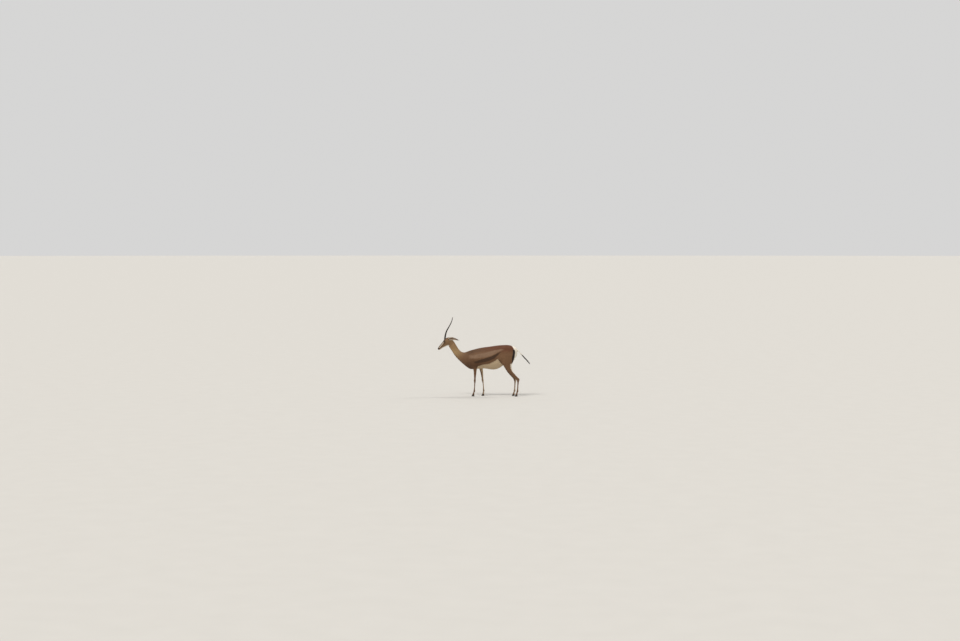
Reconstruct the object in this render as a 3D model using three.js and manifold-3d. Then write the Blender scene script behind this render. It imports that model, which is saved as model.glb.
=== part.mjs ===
// A gazelle doe standing in profile, life size, in millimetres.
// She faces -Y with her left side to +X, and the floor is z = 0.
// Flesh is modelled whole from closed lofts, then parted into head, neck, torso and legs.
import * as THREE from 'three';
import { mergeVertices } from 'three/addons/utils/BufferGeometryUtils.js';
import Module from 'manifold-3d';

const wasm = await Module();
wasm.setup();

// Driving dimensions
const GAP = 0.3;
const HEAD_PITCH = THREE.MathUtils.degToRad(36);
const HEAD_ORIGIN = { y: -596, z: 1034 };
const EYE = { along: 117, above: 29, out: 33.5, radius: 16.5 };
const LID = { long: 16, tall: 12.8, thick: 4.2, lift: 8.6 };
const MOUTH = { corner: 210, front: 305, opening: 1.6, depth: 5 };
const FAR_ELBOW_BACK = 100;
const FAR_FORE_BACK = 178;
const FAR_HIND_FORWARD = 57;
const BLADE_HEIGHT = 760;
const ELBOW_HEIGHT = 500;
const THIGH_HEIGHT = 700;
const HORN = { thick: 13, tip: 1.6, oval: 1.18, rings: 12, ringed: 0.76, ridge: 0.09 };
const HOOF = { height: 38, toe: 28, heel: 25, cleft: 1.2, front: 30, rear: 17, behind: 9 };
const DEWCLAW = { across: 5, deep: 7, tall: 8, aside: 8, behind: 14, below: 7 };
const NOSTRIL = { along: 285, above: -13, out: 15, across: 5, long: 9, tall: 2.6 };
const EAR_WALL = 3;
const EAR_FACING = [0.86, -0.2, -0.42];
const TUFT = { locks: 16, length: 88, width: 6.5, thick: 1.7, bow: 9, first: 0.4, last: 0.8 };
const STEM_END = 0.86;
const LEG_DEPTH = 300;

const COLOURS = { coat: 0x9a6a4a, back: 0x8a553a, dark: 0x1d1713, horn: 0x2b2622, eye: 0x0f0a08 };

const { clamp, lerp } = THREE.MathUtils;
const vec = (x = 0, y = 0, z = 0) => new THREE.Vector3(x, y, z);

// A number raised to a power with its sign kept
const bent = (value, power) => Math.sign(value) * Math.abs(value) ** power;

// Curves through rows of three numbers, or through single numbers
const line = rows => new THREE.CatmullRomCurve3(rows.map(row => vec(...row)));
function through(...values) {
  const curve = line(values.map(value => [value]));
  return t => curve.getPoint(t).x;
}

// Closed solids

function signedVolume(at, faces) {
  const corners = [vec(), vec(), vec()];
  let sum = 0;
  for (let i = 0; i < faces.length; i += 3) {
    corners.forEach((corner, k) => corner.fromArray(at, 3 * faces[i + k]));
    sum += corners[0].dot(corners[1].cross(corners[2]));
  }
  return sum / 6;
}

function solid(geometry) {
  geometry.deleteAttribute('normal');
  geometry.deleteAttribute('uv');
  const merged = mergeVertices(geometry);
  const vertProperties = merged.attributes.position.array;
  const triVerts = Uint32Array.from(merged.index.array);
  if (signedVolume(vertProperties, triVerts) < 0) triVerts.reverse();
  return new wasm.Manifold(new wasm.Mesh({ numProp: 3, vertProperties, triVerts }));
}

const fuse = pieces => pieces.reduce((whole, piece) => whole.add(piece));

function largest(whole) {
  return whole.decompose().reduce((best, piece) => (piece.volume() > best.volume() ? piece : best));
}

function node(name, whole, colour, roughness = 0.85) {
  const body = largest(whole).getMesh();
  const geometry = new THREE.BufferGeometry();
  geometry.setAttribute('position', new THREE.BufferAttribute(body.vertProperties, 3));
  geometry.setIndex(new THREE.BufferAttribute(body.triVerts, 1));
  geometry.computeVertexNormals();
  const mesh = new THREE.Mesh(
    geometry,
    new THREE.MeshStandardMaterial({ color: colour, roughness, metalness: 0 }),
  );
  mesh.name = name;
  return mesh;
}

// Moves every corner of a geometry to the place that move(x, y, z) gives.
function mapped(geometry, move) {
  const position = geometry.attributes.position;
  for (let i = 0; i < position.count; i++) {
    const p = move(position.getX(i), position.getY(i), position.getZ(i));
    position.setXYZ(i, p.x, p.y, p.z);
  }
  return geometry;
}

// A closed form whose skin runs through ring(t, turn), with t from 0 at one end to 1 at the other.
function form(around, along, ring) {
  const geometry = new THREE.SphereGeometry(1, around, along);
  const position = geometry.attributes.position;
  for (let i = 0; i < position.count; i++) {
    const row = Math.floor(i / (around + 1));
    const column = (i % (around + 1)) % around;
    const t = clamp((row - 1) / (along - 2), 0, 1);
    const pole = row === 0 || row === along;
    const p = pole ? middle(ring, t) : ring(t, (2 * Math.PI * column) / around);
    position.setXYZ(i, p.x, p.y, p.z);
  }
  return geometry;
}

const middle = (ring, t) => ring(t, 0).lerp(ring(t, Math.PI), 0.5);

// Rings between a leading and a trailing edge. A station is [leading [y, z], trailing [y, z],
// half width, offset to the side, how much wider it is toward the trailing edge, roundness].
function flesh(stations) {
  const leading = line(stations.map(([edge, , , aside = 0]) => [aside, ...edge]));
  const trailing = line(stations.map(([, edge, , aside = 0]) => [aside, ...edge]));
  const shape = line(stations.map(([, , half, , low = 0, roundness = 1]) => [half, low, roundness]));
  return (t, turn) => {
    const { x: half, y: low, z: roundness } = shape.getPoint(t);
    const across = bent(Math.cos(turn), roundness);
    const p = trailing.getPoint(t).lerp(leading.getPoint(t), (1 + across) / 2);
    p.x += half * bent(Math.sin(turn), roundness) * (1 - low * across);
    return p;
  };
}

// Muscles and hollows, alike on both sides: each [x, y, z, reach, rise] lifts or sinks the skin.
const swelled = (ring, swells) => (t, turn) => {
  const p = ring(t, turn);
  const out = p.clone().sub(middle(ring, t)).normalize();
  const rises = swells.map(([x, y, z, reach, rise]) => {
    const away = vec(Math.abs(p.x) - x, p.y - y, p.z - z).length() / reach;
    return rise * Math.exp(-away * away);
  });
  return p.addScaledVector(out, rises.reduce((sum, rise) => sum + rise));
};

// The half of space beyond a point of the middle plane, on the side that the normal points to.
function beyond([y, z], [ny, nz]) {
  const size = 4000;
  const box = new THREE.BoxGeometry(size, size, size).translate(0, size / 2, 0);
  const normal = vec(0, ny, nz).normalize();
  const sideways = vec(1, 0, 0);
  const turn = new THREE.Matrix4().makeBasis(sideways, normal, sideways.clone().cross(normal));
  return solid(box.applyMatrix4(turn).translate(0, y, z));
}

// The two sides of a cut through the middle plane, kept a gap apart.
function cut(point, normal) {
  const length = Math.hypot(...normal);
  const back = point.map((value, i) => value - (GAP * normal[i]) / length);
  return { ahead: beyond(point, normal), behind: beyond(back, normal.map(value => -value)) };
}

// Neck and torso: top edge, bottom edge, half width, offset, how much wider low down, roundness
const TRUNK = [
  [[-636, 1046], [-652, 952], 32],
  [[-598, 1044], [-634, 914], 39],
  [[-540, 986], [-611, 864], 42.5],
  [[-496, 918], [-571, 803], 45],
  [[-448, 842], [-527, 735], 50, 0, 0.05],
  [[-398, 797], [-462, 660], 60, 0, 0.1],
  [[-345, 790], [-385, 588], 76, 0, 0.06],
  [[-300, 806], [-310, 527], 91],
  [[-245, 826], [-235, 488], 101, 0, -0.06],
  [[-165, 847], [-140, 486], 110],
  [[-85, 868], [-45, 497], 119, 0, 0.06],
  [[10, 884], [40, 494], 126, 0, 0.1],
  [[95, 896], [130, 480], 130, 0, 0.13],
  [[180, 908], [215, 482], 128, 0, 0.14],
  [[262, 918], [290, 512], 119, 0, 0.1],
  [[340, 924], [365, 565], 108, 0, 0.04],
  [[415, 926], [440, 612], 99],
  [[480, 918], [510, 648], 88],
  [[540, 896], [568, 690], 68],
  [[584, 872], [596, 736], 42],
  [[604, 846], [604, 782], 20],
];
const MUSCLES = [
  [62, -262, 792, 45, -5],
  [104, -262, 600, 62, 7],
  [106, -150, 600, 60, 6],
  [112, 285, 740, 70, -11],
  [84, 330, 885, 42, 5],
  [70, 120, 850, 80, -4],
  [100, 20, 560, 70, 4],
  [34, -430, 735, 40, 4],
  [0, -262, 492, 45, 6],
];

// Limbs: joints down the limb, then [place on that path, reach ahead, reach behind, half width]
const FORE_JOINTS = [
  [62, -200, 745], [80, -193, 640], [85, -158, 520], [75, -157, 283],
  [66, -169, 100], [64, -185, 36], [63, -189, 8],
];
const FORE_FORM = [
  [0, 44, 44, 14], [0.5, 68, 62, 26], [1, 90, 80, 31], [1.5, 80, 70, 31], [1.85, 52, 58, 28],
  [2, 40, 49, 25], [2.15, 31, 37, 21], [2.4, 26, 27, 18], [2.65, 21, 20, 15.5], [2.85, 17, 16, 13.5],
  [2.95, 18.5, 17.5, 15.5], [3.04, 18.5, 19, 16], [3.13, 15, 15, 13.5], [3.3, 11, 11.5, 11],
  [3.65, 10.5, 11.5, 10.5], [3.85, 12.5, 13.5, 12.5], [4, 15, 16.5, 14.5], [4.25, 13.5, 15, 13.5],
  [4.6, 13, 13, 13.5],
  [4.88, 18.5, 18.5, 17], [5, 20.5, 20.5, 18], [6, 17, 17, 16],
];
const HIND_JOINTS = [
  [52, 455, 850], [64, 441, 745], [70, 433, 640], [74, 441, 545], [72, 492, 441], [67, 560, 362],
  [63, 614, 300], [62, 615, 205], [64, 608, 100], [64.5, 592, 36], [64.5, 588, 8],
];
const HIND_FORM = [
  [0, 96, 92, 22], [0.5, 118, 122, 36], [1, 131, 141, 43], [1.5, 129, 131, 45], [2, 117, 108, 45],
  [2.5, 98, 88, 42], [3, 71, 68, 36], [3.5, 50, 52, 29], [4, 38, 40, 23.5], [4.5, 30, 33, 19],
  [5, 25, 28, 16], [5.5, 21.5, 27, 15], [5.8, 23, 32, 16.5], [6, 24, 35, 17.5], [6.2, 21, 25, 16.5],
  [6.5, 15.5, 16, 13.5], [7, 12.5, 13.5, 11.5], [7.5, 12, 13, 11], [7.85, 13.5, 15, 13],
  [8, 15.5, 17.5, 15], [8.25, 14, 15.5, 14], [8.6, 13.5, 13.5, 14], [8.88, 18.5, 18.5, 17],
  [9, 20.5, 20.5, 18], [10, 17, 17, 16],
];

// The far legs swing from the shoulder and the hip, more the lower the place is.
const swingFore = z =>
  FAR_ELBOW_BACK * clamp((BLADE_HEIGHT - z) / (BLADE_HEIGHT - ELBOW_HEIGHT), 0, 1) +
  (FAR_FORE_BACK - FAR_ELBOW_BACK) * clamp(1 - z / ELBOW_HEIGHT, 0, 1);
const swingHind = z => -FAR_HIND_FORWARD * clamp((THIGH_HEIGHT - z) / 400, 0, 1) ** 1.2;

// What each leg takes of the body: an outline in the middle plane, and how near the middle it starts
const FORE_REGION = {
  inner: 40,
  outline: [
    [-205, 782], [-276, 700], [-316, 606], [-268, 536], [-226, 478], [-226, 400],
    [-232, 250], [-245, 60], [-235, -60], [-120, -60], [-100, 60], [-98, 250],
    [-88, 400], [-72, 480], [-74, 570], [-98, 670], [-140, 752],
  ],
};
const HIND_REGION = {
  inner: 16,
  outline: [
    [400, 872], [332, 820], [308, 720], [318, 610], [336, 520], [372, 430],
    [440, 310], [500, 180], [530, 40], [540, -60], [660, -60], [690, 60],
    [720, 300], [700, 520], [680, 700], [640, 800], [580, 842], [490, 872],
  ],
};

// The outline drawn smooth, moved out by a gap, and given depth from near the middle outward
function region({ inner, outline }, side, swing, grow) {
  const points = outline.map(([y, z]) => new THREE.Vector2(y + swing(z), z));
  const smooth = new THREE.SplineCurve([...points, points[0]]).getPoints(2 * points.length).slice(1);
  const outward = -Math.sign(THREE.ShapeUtils.area(smooth));
  const grown = smooth.map((p, i) => {
    const along = smooth[(i + 1) % smooth.length].clone().sub(smooth.at(i - 1)).setLength(grow * outward);
    return new THREE.Vector2(p.x - along.y, p.y + along.x);
  });
  const slab = new THREE.ExtrudeGeometry(new THREE.Shape(grown), { depth: LEG_DEPTH, bevelEnabled: false });
  return solid(mapped(slab, (y, z, x) => vec(side * (inner - grow + x), y, z)));
}

function limb(joints, rows, side, swing) {
  const path = line(joints.map(([x, y, z]) => [side * x, y + swing(z), z]));
  const stations = rows.map(([place, ahead, behind, half]) => {
    const t = place / (joints.length - 1);
    const centre = path.getPoint(t);
    const down = path.getTangent(t);
    const length = Math.hypot(down.y, down.z);
    const edge = reach => [centre.y + (reach * down.z) / length, centre.z - (reach * down.y) / length];
    return [edge(ahead), edge(-behind), half, centre.x];
  });
  return { path, stations };
}

// Two small false hooves behind the fetlock
function dewclaws(path, place) {
  const centre = path.getPoint(place);
  return [-DEWCLAW.aside, DEWCLAW.aside].map(aside => {
    const nub = new THREE.SphereGeometry(1, 6, 4).scale(DEWCLAW.across, DEWCLAW.deep, DEWCLAW.tall);
    return solid(nub.translate(centre.x + aside, centre.y + DEWCLAW.behind, centre.z - DEWCLAW.below));
  });
}

// One claw of a hoof: flat sole, sloping toe, straight beside the cleft, cut off at the coronet
function claw(foot, out, coronet) {
  const outer = [[1.6, HOOF.toe], [6.5, 22], [13, 6], [15.2, -8], [12, -21], [6, -HOOF.heel]];
  const outline = new THREE.Shape().moveTo(0, -HOOF.heel + 3);
  outline.lineTo(0, HOOF.toe - 3);
  outline.splineThru(outer.map(p => new THREE.Vector2(...p)));
  const block = new THREE.ExtrudeGeometry(outline, {
    depth: HOOF.height, steps: 2, bevelEnabled: false, curveSegments: 2,
  });
  const length = HOOF.toe + HOOF.heel;
  const shaped = mapped(block, (across, forward, up) => {
    const lean = lerp(0.22, 0.56, (forward + HOOF.heel) / length);
    const narrowed = across * (1 - (0.1 * up) / HOOF.height);
    return vec(foot.x + out * (HOOF.cleft + narrowed), foot.y - forward + lean * up, up);
  });
  return solid(shaped).intersect(coronet.behind);
}

// The head in its own plane: a runs from the poll to the nose, b up from the middle of the skull.
const alongHead = vec(0, -Math.cos(HEAD_PITCH), -Math.sin(HEAD_PITCH));
const upHead = vec(0, -Math.sin(HEAD_PITCH), Math.cos(HEAD_PITCH));
const onHead = (a, b, x = 0) =>
  vec(x, HEAD_ORIGIN.y, HEAD_ORIGIN.z).addScaledVector(alongHead, a).addScaledVector(upHead, b);

// Top [a, b], bottom [a, b], half width, how much wider low down, roundness
const SKULL = [
  [[-6, 12], [-8, -36], 20, 0, 1],
  [[6, 34], [2, -64], 33, 0, 0.95],
  [[35, 50], [28, -77], 41, -0.04, 0.95],
  [[66, 58], [60, -82], 45, -0.08, 0.92],
  [[95, 58], [90, -79], 46, -0.14, 0.92],
  [[121, 51], [117, -71], 42, -0.16, 0.92],
  [[150, 40], [146, -62], 34, -0.08, 0.92],
  [[186, 29], [182, -55], 28, 0, 0.92],
  [[224, 20], [218, -50], 25, 0.05, 0.9],
  [[256, 12], [250, -49], 24, 0.05, 0.88],
  [[280, 1], [273, -48], 22.5, 0, 0.86],
  [[294, -8], [286, -43], 19, 0, 0.84],
  [[302, -16], [296, -34], 12, 0, 0.9],
];
const FACE = [
  [[44, 114, 31], 27, 7.5],
  [[36, 117, 46], 18, 7.5],
  [[19, 90, 62], 16, 5],
  [[42, 62, -30], 30, 4],
  [[30, 152, 8], 20, -3],
  [[32, 100, -28], 24, -2],
  [[13, 283, -10], 11, 2.5],
  [[16, 270, -38], 12, 1.5],
];

function skullStations(inset) {
  const flat = ([a, b], rise) => {
    const p = onHead(a, b + rise);
    return [p.y, p.z];
  };
  return SKULL.map(([top, bottom, half, low, roundness]) => [
    flat(top, -inset), flat(bottom, inset), half - inset, 0, low, roundness,
  ]);
}

const faceSwells = FACE.map(([[x, a, b], reach, rise]) => [...onHead(a, b, x), reach, rise]);

// Where an eye looks: mostly sideways, a little forward and up
function eyeFrame(side) {
  const outward = vec(0.86 * side).addScaledVector(alongHead, 0.42).addScaledVector(upHead, 0.28);
  outward.normalize();
  const across = alongHead.clone().addScaledVector(upHead, -0.22);
  across.addScaledVector(outward, -across.dot(outward)).normalize();
  const centre = onHead(EYE.along, EYE.above, side * EYE.out);
  return { centre, outward, across, upward: outward.clone().cross(across) };
}

function eyeball(side, radius) {
  const { centre } = eyeFrame(side);
  const ball = new THREE.SphereGeometry(radius, 14, 10).rotateZ(Math.PI / 2);
  return solid(ball.translate(...centre));
}

// Upper and lower lid as one almond ring round the eyeball
function lids(side) {
  const { centre, outward, across, upward } = eyeFrame(side);
  const ring = new THREE.TorusGeometry(1, LID.thick / LID.long, 6, 18);
  return solid(mapped(ring, (u, v, w) => {
    const pinch = 1 - 0.16 * clamp(Math.abs(u) - 0.5, 0, 1);
    return centre.clone()
      .addScaledVector(across, u * LID.long)
      .addScaledVector(upward, v * LID.tall * pinch)
      .addScaledVector(outward, LID.lift + w * LID.long * 1.1 - 1.6 * Math.abs(u));
  }));
}

// The seam between the lips: a thin curved slab, kept out of the inside of the muzzle
function mouthSeam() {
  const width = 90;
  const places = [[MOUTH.corner, -26], [236, -32], [268, -33], [287, -30], [MOUTH.front, -26]];
  const seam = new THREE.SplineCurve(places.map(p => new THREE.Vector2(...p))).getPoints(8);
  const edge = sign => seam.map(({ x: a, y: b }, i) => {
    const half = (MOUTH.opening * Math.min(1, 0.15 + i / 4)) / 2;
    return new THREE.Vector2(a, b + sign * half);
  });
  const slab = new THREE.ExtrudeGeometry(new THREE.Shape([...edge(1), ...edge(-1).reverse()]), {
    depth: width, bevelEnabled: false,
  });
  const core = solid(form(12, 14, flesh(skullStations(MOUTH.depth))));
  return solid(mapped(slab, (a, b, x) => onHead(a, b, x - width / 2))).subtract(core);
}

function nostril(side) {
  const { along, above, out, across, long, tall } = NOSTRIL;
  const slit = new THREE.SphereGeometry(1, 10, 8).scale(across, long, tall);
  slit.rotateX(-0.6).rotateZ(-0.45 * side);
  return solid(mapped(slit, (x, a, b) => onHead(along + a, above - b, side * out + x)));
}

// Horns: a ringed lyre curve, rising from above the eye
function horn(side, grow = 0) {
  const path = line([
    [16, -698, 1014], [19, -701, 1036], [24, -690, 1106], [32, -670, 1172], [41, -634, 1237],
    [49, -599, 1300], [53, -574, 1364], [52, -560, 1424],
  ].map(([x, y, z]) => [side * x, y, z]));
  const taper = t => lerp(HORN.thick, HORN.tip, t ** 1.25);
  return form(8, 3 * Math.round(HORN.rings / HORN.ringed) + 2, (t, turn) => {
    const ring = t < HORN.ringed ? HORN.ridge * Math.sin((2 * Math.PI * HORN.rings * t) / HORN.ringed) : 0;
    const radius = taper(t) * (1 + ring) + grow;
    const up = path.getTangent(t);
    const ahead = vec(0, -up.z, up.y).normalize();
    return path.getPoint(t)
      .addScaledVector(up, t === 0 ? -grow : 0)
      .addScaledVector(ahead, radius * HORN.oval * Math.cos(turn))
      .add(vec(radius * Math.sin(turn)));
  });
}

// Ears: a leaf-shaped cup laid back, open to the side
function earRing(side, start, end, section) {
  const path = line([
    [24, -650, 1018], [35, -634, 1025], [49, -590, 1033], [66, -524, 1026], [80, -450, 1004],
  ].map(([x, y, z]) => [side * x, y, z]));
  const facing = vec(...EAR_FACING).multiply(vec(side, 1, 1));
  return (t, turn) => {
    const place = lerp(start, end, t);
    const back = path.getTangent(place);
    const across = back.clone().cross(facing).normalize();
    const open = across.clone().cross(back);
    const { wide, deep, shift, grow } = section(place, t);
    return path.getPoint(place)
      .addScaledVector(back, t === 0 ? -grow : 0)
      .addScaledVector(across, (wide + grow) * bent(Math.sin(turn), shift ? 0.6 : 1))
      .addScaledVector(open, shift + (deep + grow) * Math.cos(turn));
  };
}
const earWide = through(10, 12, 19, 26, 27, 20, 10, 1.2);
const earDeep = through(10, 11.5, 13, 13, 11, 8, 5, 1.2);

function earShell(side, grow = 0) {
  const section = place => ({ wide: earWide(place), deep: earDeep(place), shift: 0, grow });
  return solid(form(12, 15, earRing(side, 0, 1, section)));
}

function earCup(side) {
  const section = (place, t) => {
    const deep = 2 * earDeep(place) * Math.min(1, 0.5 + 3 * t);
    const wide = Math.max(0.3, (earWide(place) - 1.4) * Math.min(1, 0.4 + 4 * t));
    const back = EAR_WALL * Math.min(1, 4 * (1 - t) + 0.35);
    return { wide, deep, shift: deep - earDeep(place) + back, grow: 0 };
  };
  return solid(form(10, 12, earRing(side, 0.3, 0.97, section)));
}

// Tail: a bare stem, and a tuft of flat tapered locks that overlap toward the tip
const TAIL = line([
  [0, 586, 850], [0, 612, 828], [0, 655, 780], [0, 705, 727], [0, 760, 668], [0, 806, 615],
]);
const tailThick = through(14, 13.5, 10, 8, 6.5, 5.5, 3);

function tailStem(grow = 0) {
  return solid(form(8, 12, (t, turn) => {
    const along = TAIL.getTangent(t * STEM_END);
    const radius = tailThick(t) + grow;
    return TAIL.getPoint(t * STEM_END)
      .addScaledVector(along, t === 0 ? -grow : 0)
      .addScaledVector(vec(0, along.z, -along.y), radius * 0.8 * Math.cos(turn))
      .add(vec(radius * 1.1 * Math.sin(turn)));
  }));
}

function lock(i) {
  const share = i / (TUFT.locks - 1);
  const place = lerp(TUFT.first, TUFT.last, share);
  const turn = i * Math.PI * (3 - Math.sqrt(5));
  const along = TAIL.getTangent(place);
  const outward = vec(Math.sin(turn)).addScaledVector(vec(0, along.z, -along.y), Math.cos(turn));
  const aside = along.clone().cross(outward);
  const root = TAIL.getPoint(place).addScaledVector(outward, 2);
  const length = TUFT.length * (1 + 0.12 * Math.sin(7 * i));
  return solid(form(5, 6, (t, angle) => {
    const width = TUFT.width * Math.sin(Math.PI * clamp(0.16 + 0.8 * t, 0, 1)) + 0.4;
    const lift = TUFT.bow * Math.sin(Math.PI * 0.8 * t) * (1 - 0.4 * share);
    return root.clone()
      .addScaledVector(along, length * t)
      .addScaledVector(outward, lift + TUFT.thick * Math.cos(angle) * (1.1 - 0.8 * t))
      .addScaledVector(aside, width * Math.sin(angle) + 3 * Math.sin(5 * i) * t * t);
  }));
}

// The whole body, then its parts

const trunk = solid(form(24, 38, swelled(flesh(TRUNK), MUSCLES)));
const skull = solid(form(26, 32, swelled(flesh(skullStations(0)), faceSwells)));
const fore = { joints: FORE_JOINTS, rows: FORE_FORM, shape: FORE_REGION };
const hind = { joints: HIND_JOINTS, rows: HIND_FORM, shape: HIND_REGION };
const legs = [
  { ...fore, name: 'foreleg_left', side: 1, swing: () => 0 },
  { ...fore, name: 'foreleg_right', side: -1, swing: swingFore },
  { ...hind, name: 'hindleg_left', side: 1, swing: () => 0 },
  { ...hind, name: 'hindleg_right', side: -1, swing: swingHind },
].map(leg => {
  const { path, stations } = limb(leg.joints, leg.rows, leg.side, leg.swing);
  const fetlock = (leg.joints.length - 3) / (leg.joints.length - 1);
  const ankle = path.getPoint((leg.joints.length - 2) / (leg.joints.length - 1));
  const foot = vec(ankle.x, ankle.y - HOOF.behind, 0);
  const slope = [HOOF.front - HOOF.rear, HOOF.toe + HOOF.heel];
  const coronet = cut([ankle.y, (HOOF.front + HOOF.rear) / 2], slope);
  const whole = fuse([solid(form(12, leg.rows.length + 1, flesh(stations))), ...dewclaws(path, fetlock)]);
  return { ...leg, foot, coronet, solid: whole };
});

const sides = { left: 1, right: -1 };
const whole = fuse([trunk, skull, ...legs.map(leg => leg.solid)]).subtract(
  fuse([earShell(1, GAP), earShell(-1, GAP)]),
);
const poll = cut([-600, 1000], [-134, 36]);
const neckBase = cut([-342, 660], [-259, -47]);

const rest = whole.intersect(neckBase.behind);
const headSolid = fuse([whole.intersect(poll.ahead), lids(1), lids(-1)]).subtract(
  fuse([
    mouthSeam(),
    ...Object.values(sides).flatMap(side => [
      eyeball(side, EYE.radius + GAP), nostril(side), solid(horn(side, GAP)),
    ]),
  ]),
);
const torso = rest.subtract(fuse([
  tailStem(GAP), ...legs.map(({ shape, side, swing }) => region(shape, side, swing, GAP)),
]));

const gazelle = new THREE.Group();
gazelle.add(
  node('head', headSolid, COLOURS.coat),
  node('neck', whole.intersect(poll.behind).intersect(neckBase.ahead), COLOURS.coat),
  node('torso', torso, COLOURS.back),
  node('tail', fuse([tailStem(), ...Array.from({ length: TUFT.locks }, (_, i) => lock(i))]), COLOURS.dark),
);
for (const { name, shape, side, swing, foot, coronet } of legs) {
  const leg = rest.intersect(region(shape, side, swing, 0)).intersect(coronet.ahead);
  gazelle.add(node(name, leg, COLOURS.coat));
  for (const [claws, out] of [['inner', -side], ['outer', side]]) {
    gazelle.add(node(`hoof_${name}_${claws}`, claw(foot, out, coronet), COLOURS.dark, 0.45));
  }
}
for (const [name, side] of Object.entries(sides)) {
  gazelle.add(
    node(`ear_${name}`, earShell(side).subtract(earCup(side)), COLOURS.coat),
    node(`horn_${name}`, solid(horn(side)), COLOURS.horn, 0.5),
    node(`eye_${name}`, eyeball(side, EYE.radius), COLOURS.eye, 0.1),
  );
}

// The origin is the middle of the underside of the whole animal's box.
const box = new THREE.Box3().setFromObject(gazelle);
const centre = box.getCenter(vec());
gazelle.position.set(-centre.x, -centre.y, -box.min.z);

export default gazelle;
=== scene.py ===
"""A life-size doe in profile, as in a museum: skin and short coat, tail tuft, horns, eyes and hooves."""

import math

import bmesh
import bpy
import numpy as np
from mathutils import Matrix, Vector


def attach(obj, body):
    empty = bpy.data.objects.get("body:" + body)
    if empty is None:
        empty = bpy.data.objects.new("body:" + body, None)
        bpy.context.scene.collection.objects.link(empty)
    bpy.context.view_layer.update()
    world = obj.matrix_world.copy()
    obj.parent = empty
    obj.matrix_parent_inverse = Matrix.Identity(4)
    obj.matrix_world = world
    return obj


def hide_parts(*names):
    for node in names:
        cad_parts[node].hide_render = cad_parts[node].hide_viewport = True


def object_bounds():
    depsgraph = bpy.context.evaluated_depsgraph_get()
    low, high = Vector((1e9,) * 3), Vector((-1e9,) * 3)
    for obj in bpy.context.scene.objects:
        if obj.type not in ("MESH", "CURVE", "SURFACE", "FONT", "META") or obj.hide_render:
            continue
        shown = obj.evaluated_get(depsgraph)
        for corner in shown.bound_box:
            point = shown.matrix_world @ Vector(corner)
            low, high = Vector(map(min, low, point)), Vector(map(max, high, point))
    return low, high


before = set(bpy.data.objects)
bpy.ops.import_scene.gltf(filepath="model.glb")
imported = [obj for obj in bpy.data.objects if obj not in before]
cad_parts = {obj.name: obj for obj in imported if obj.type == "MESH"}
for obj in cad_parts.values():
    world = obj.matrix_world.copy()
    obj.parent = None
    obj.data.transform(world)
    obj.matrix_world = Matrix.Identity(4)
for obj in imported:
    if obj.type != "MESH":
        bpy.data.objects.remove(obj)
CAD_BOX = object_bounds()

# The photograph: its size in pixels, and where the middle of the animal's box shows in it
IMAGE_WIDTH, IMAGE_HEIGHT = 960, 641
ANIMAL_PIXEL = (483.3, 356.6)
PIXEL_AT_ANIMAL = 0.018
LENS, SENSOR = 70.0, 36.0
EYE_LEVEL = 2.7
AZIMUTH = math.radians(93)

# Remeshing and the depth of the coat, in metres
BODY_VOXEL, HEAD_VOXEL = 0.0047, 0.0024
SKIN_TRIANGLES = 188000
MERGE = 1e-5
COAT_DEPTH = {"body": 0.0022, "leg": 0.0006, "head": 0.0009}
NECK_CUT = (Vector((0, -0.524, 0.860)), Vector((0, 0.6, -0.8)))

# The head's own plane: along runs from the poll to the nose, above from the middle of the skull
HEAD_ORIGIN = np.array([0, -0.5868, 1.034])
HEAD_PITCH = math.radians(36)
ALONG = np.array([0, -math.cos(HEAD_PITCH), -math.sin(HEAD_PITCH)])
ABOVE = np.array([0, -math.sin(HEAD_PITCH), math.cos(HEAD_PITCH)])
SIDEWAYS = np.array([1, 0, 0])
SKULL_ALONG = [-0.006, 0.006, 0.035, 0.066, 0.095, 0.121, 0.150, 0.186, 0.224, 0.256, 0.280, 0.294, 0.302]
SKULL_TOP = [0.012, 0.034, 0.050, 0.058, 0.058, 0.051, 0.040, 0.029, 0.020, 0.012, 0.001, -0.008, -0.016]
SKULL_BASE = [-0.036, -0.064, -0.077, -0.082, -0.079, -0.071, -0.062, -0.055, -0.050, -0.049, -0.048, -0.043,
              -0.034]

# Lines of the body, as x, y, z; the right half is its mirror image
TAIL_LINE = [(0, 0.595, 0.850), (0, 0.621, 0.828), (0, 0.664, 0.780), (0, 0.714, 0.727), (0, 0.769, 0.668),
             (0, 0.815, 0.615)]
HORN_LINE = [(0.016, -0.689, 1.014), (0.019, -0.692, 1.036), (0.024, -0.681, 1.106), (0.032, -0.661, 1.172),
             (0.041, -0.625, 1.237), (0.049, -0.590, 1.300), (0.053, -0.565, 1.364), (0.052, -0.551, 1.424)]
EAR_LINE = [(0.024, -0.641, 1.018), (0.035, -0.625, 1.025), (0.049, -0.581, 1.033), (0.066, -0.515, 1.026),
            (0.080, -0.441, 1.004)]
FORE_LINE = [(0.062, -0.191, 0.745), (0.080, -0.184, 0.640), (0.085, -0.149, 0.520), (0.075, -0.148, 0.283),
             (0.066, -0.160, 0.100), (0.064, -0.176, 0.036), (0.063, -0.180, 0.008)]
HIND_LINE = [(0.052, 0.464, 0.850), (0.064, 0.450, 0.745), (0.070, 0.442, 0.640), (0.074, 0.450, 0.545),
             (0.072, 0.501, 0.441), (0.067, 0.569, 0.362), (0.063, 0.623, 0.300), (0.062, 0.624, 0.205),
             (0.064, 0.617, 0.100), (0.0645, 0.601, 0.036), (0.0645, 0.597, 0.008)]

# The head lies above this height, and the hind legs behind this place
HEAD_FLOOR, MID_BODY = 0.78, 0.15

# On the head, as along, above, out: the seam of the lips and the slit of a nostril
LIPS = [(0.214, -0.026, 0.025), (0.268, -0.033, 0.024), (0.298, -0.029, 0.014)]
NOSTRIL = [(0.283, -0.010, 0.0170), (0.297, -0.021, 0.0155)]

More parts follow.
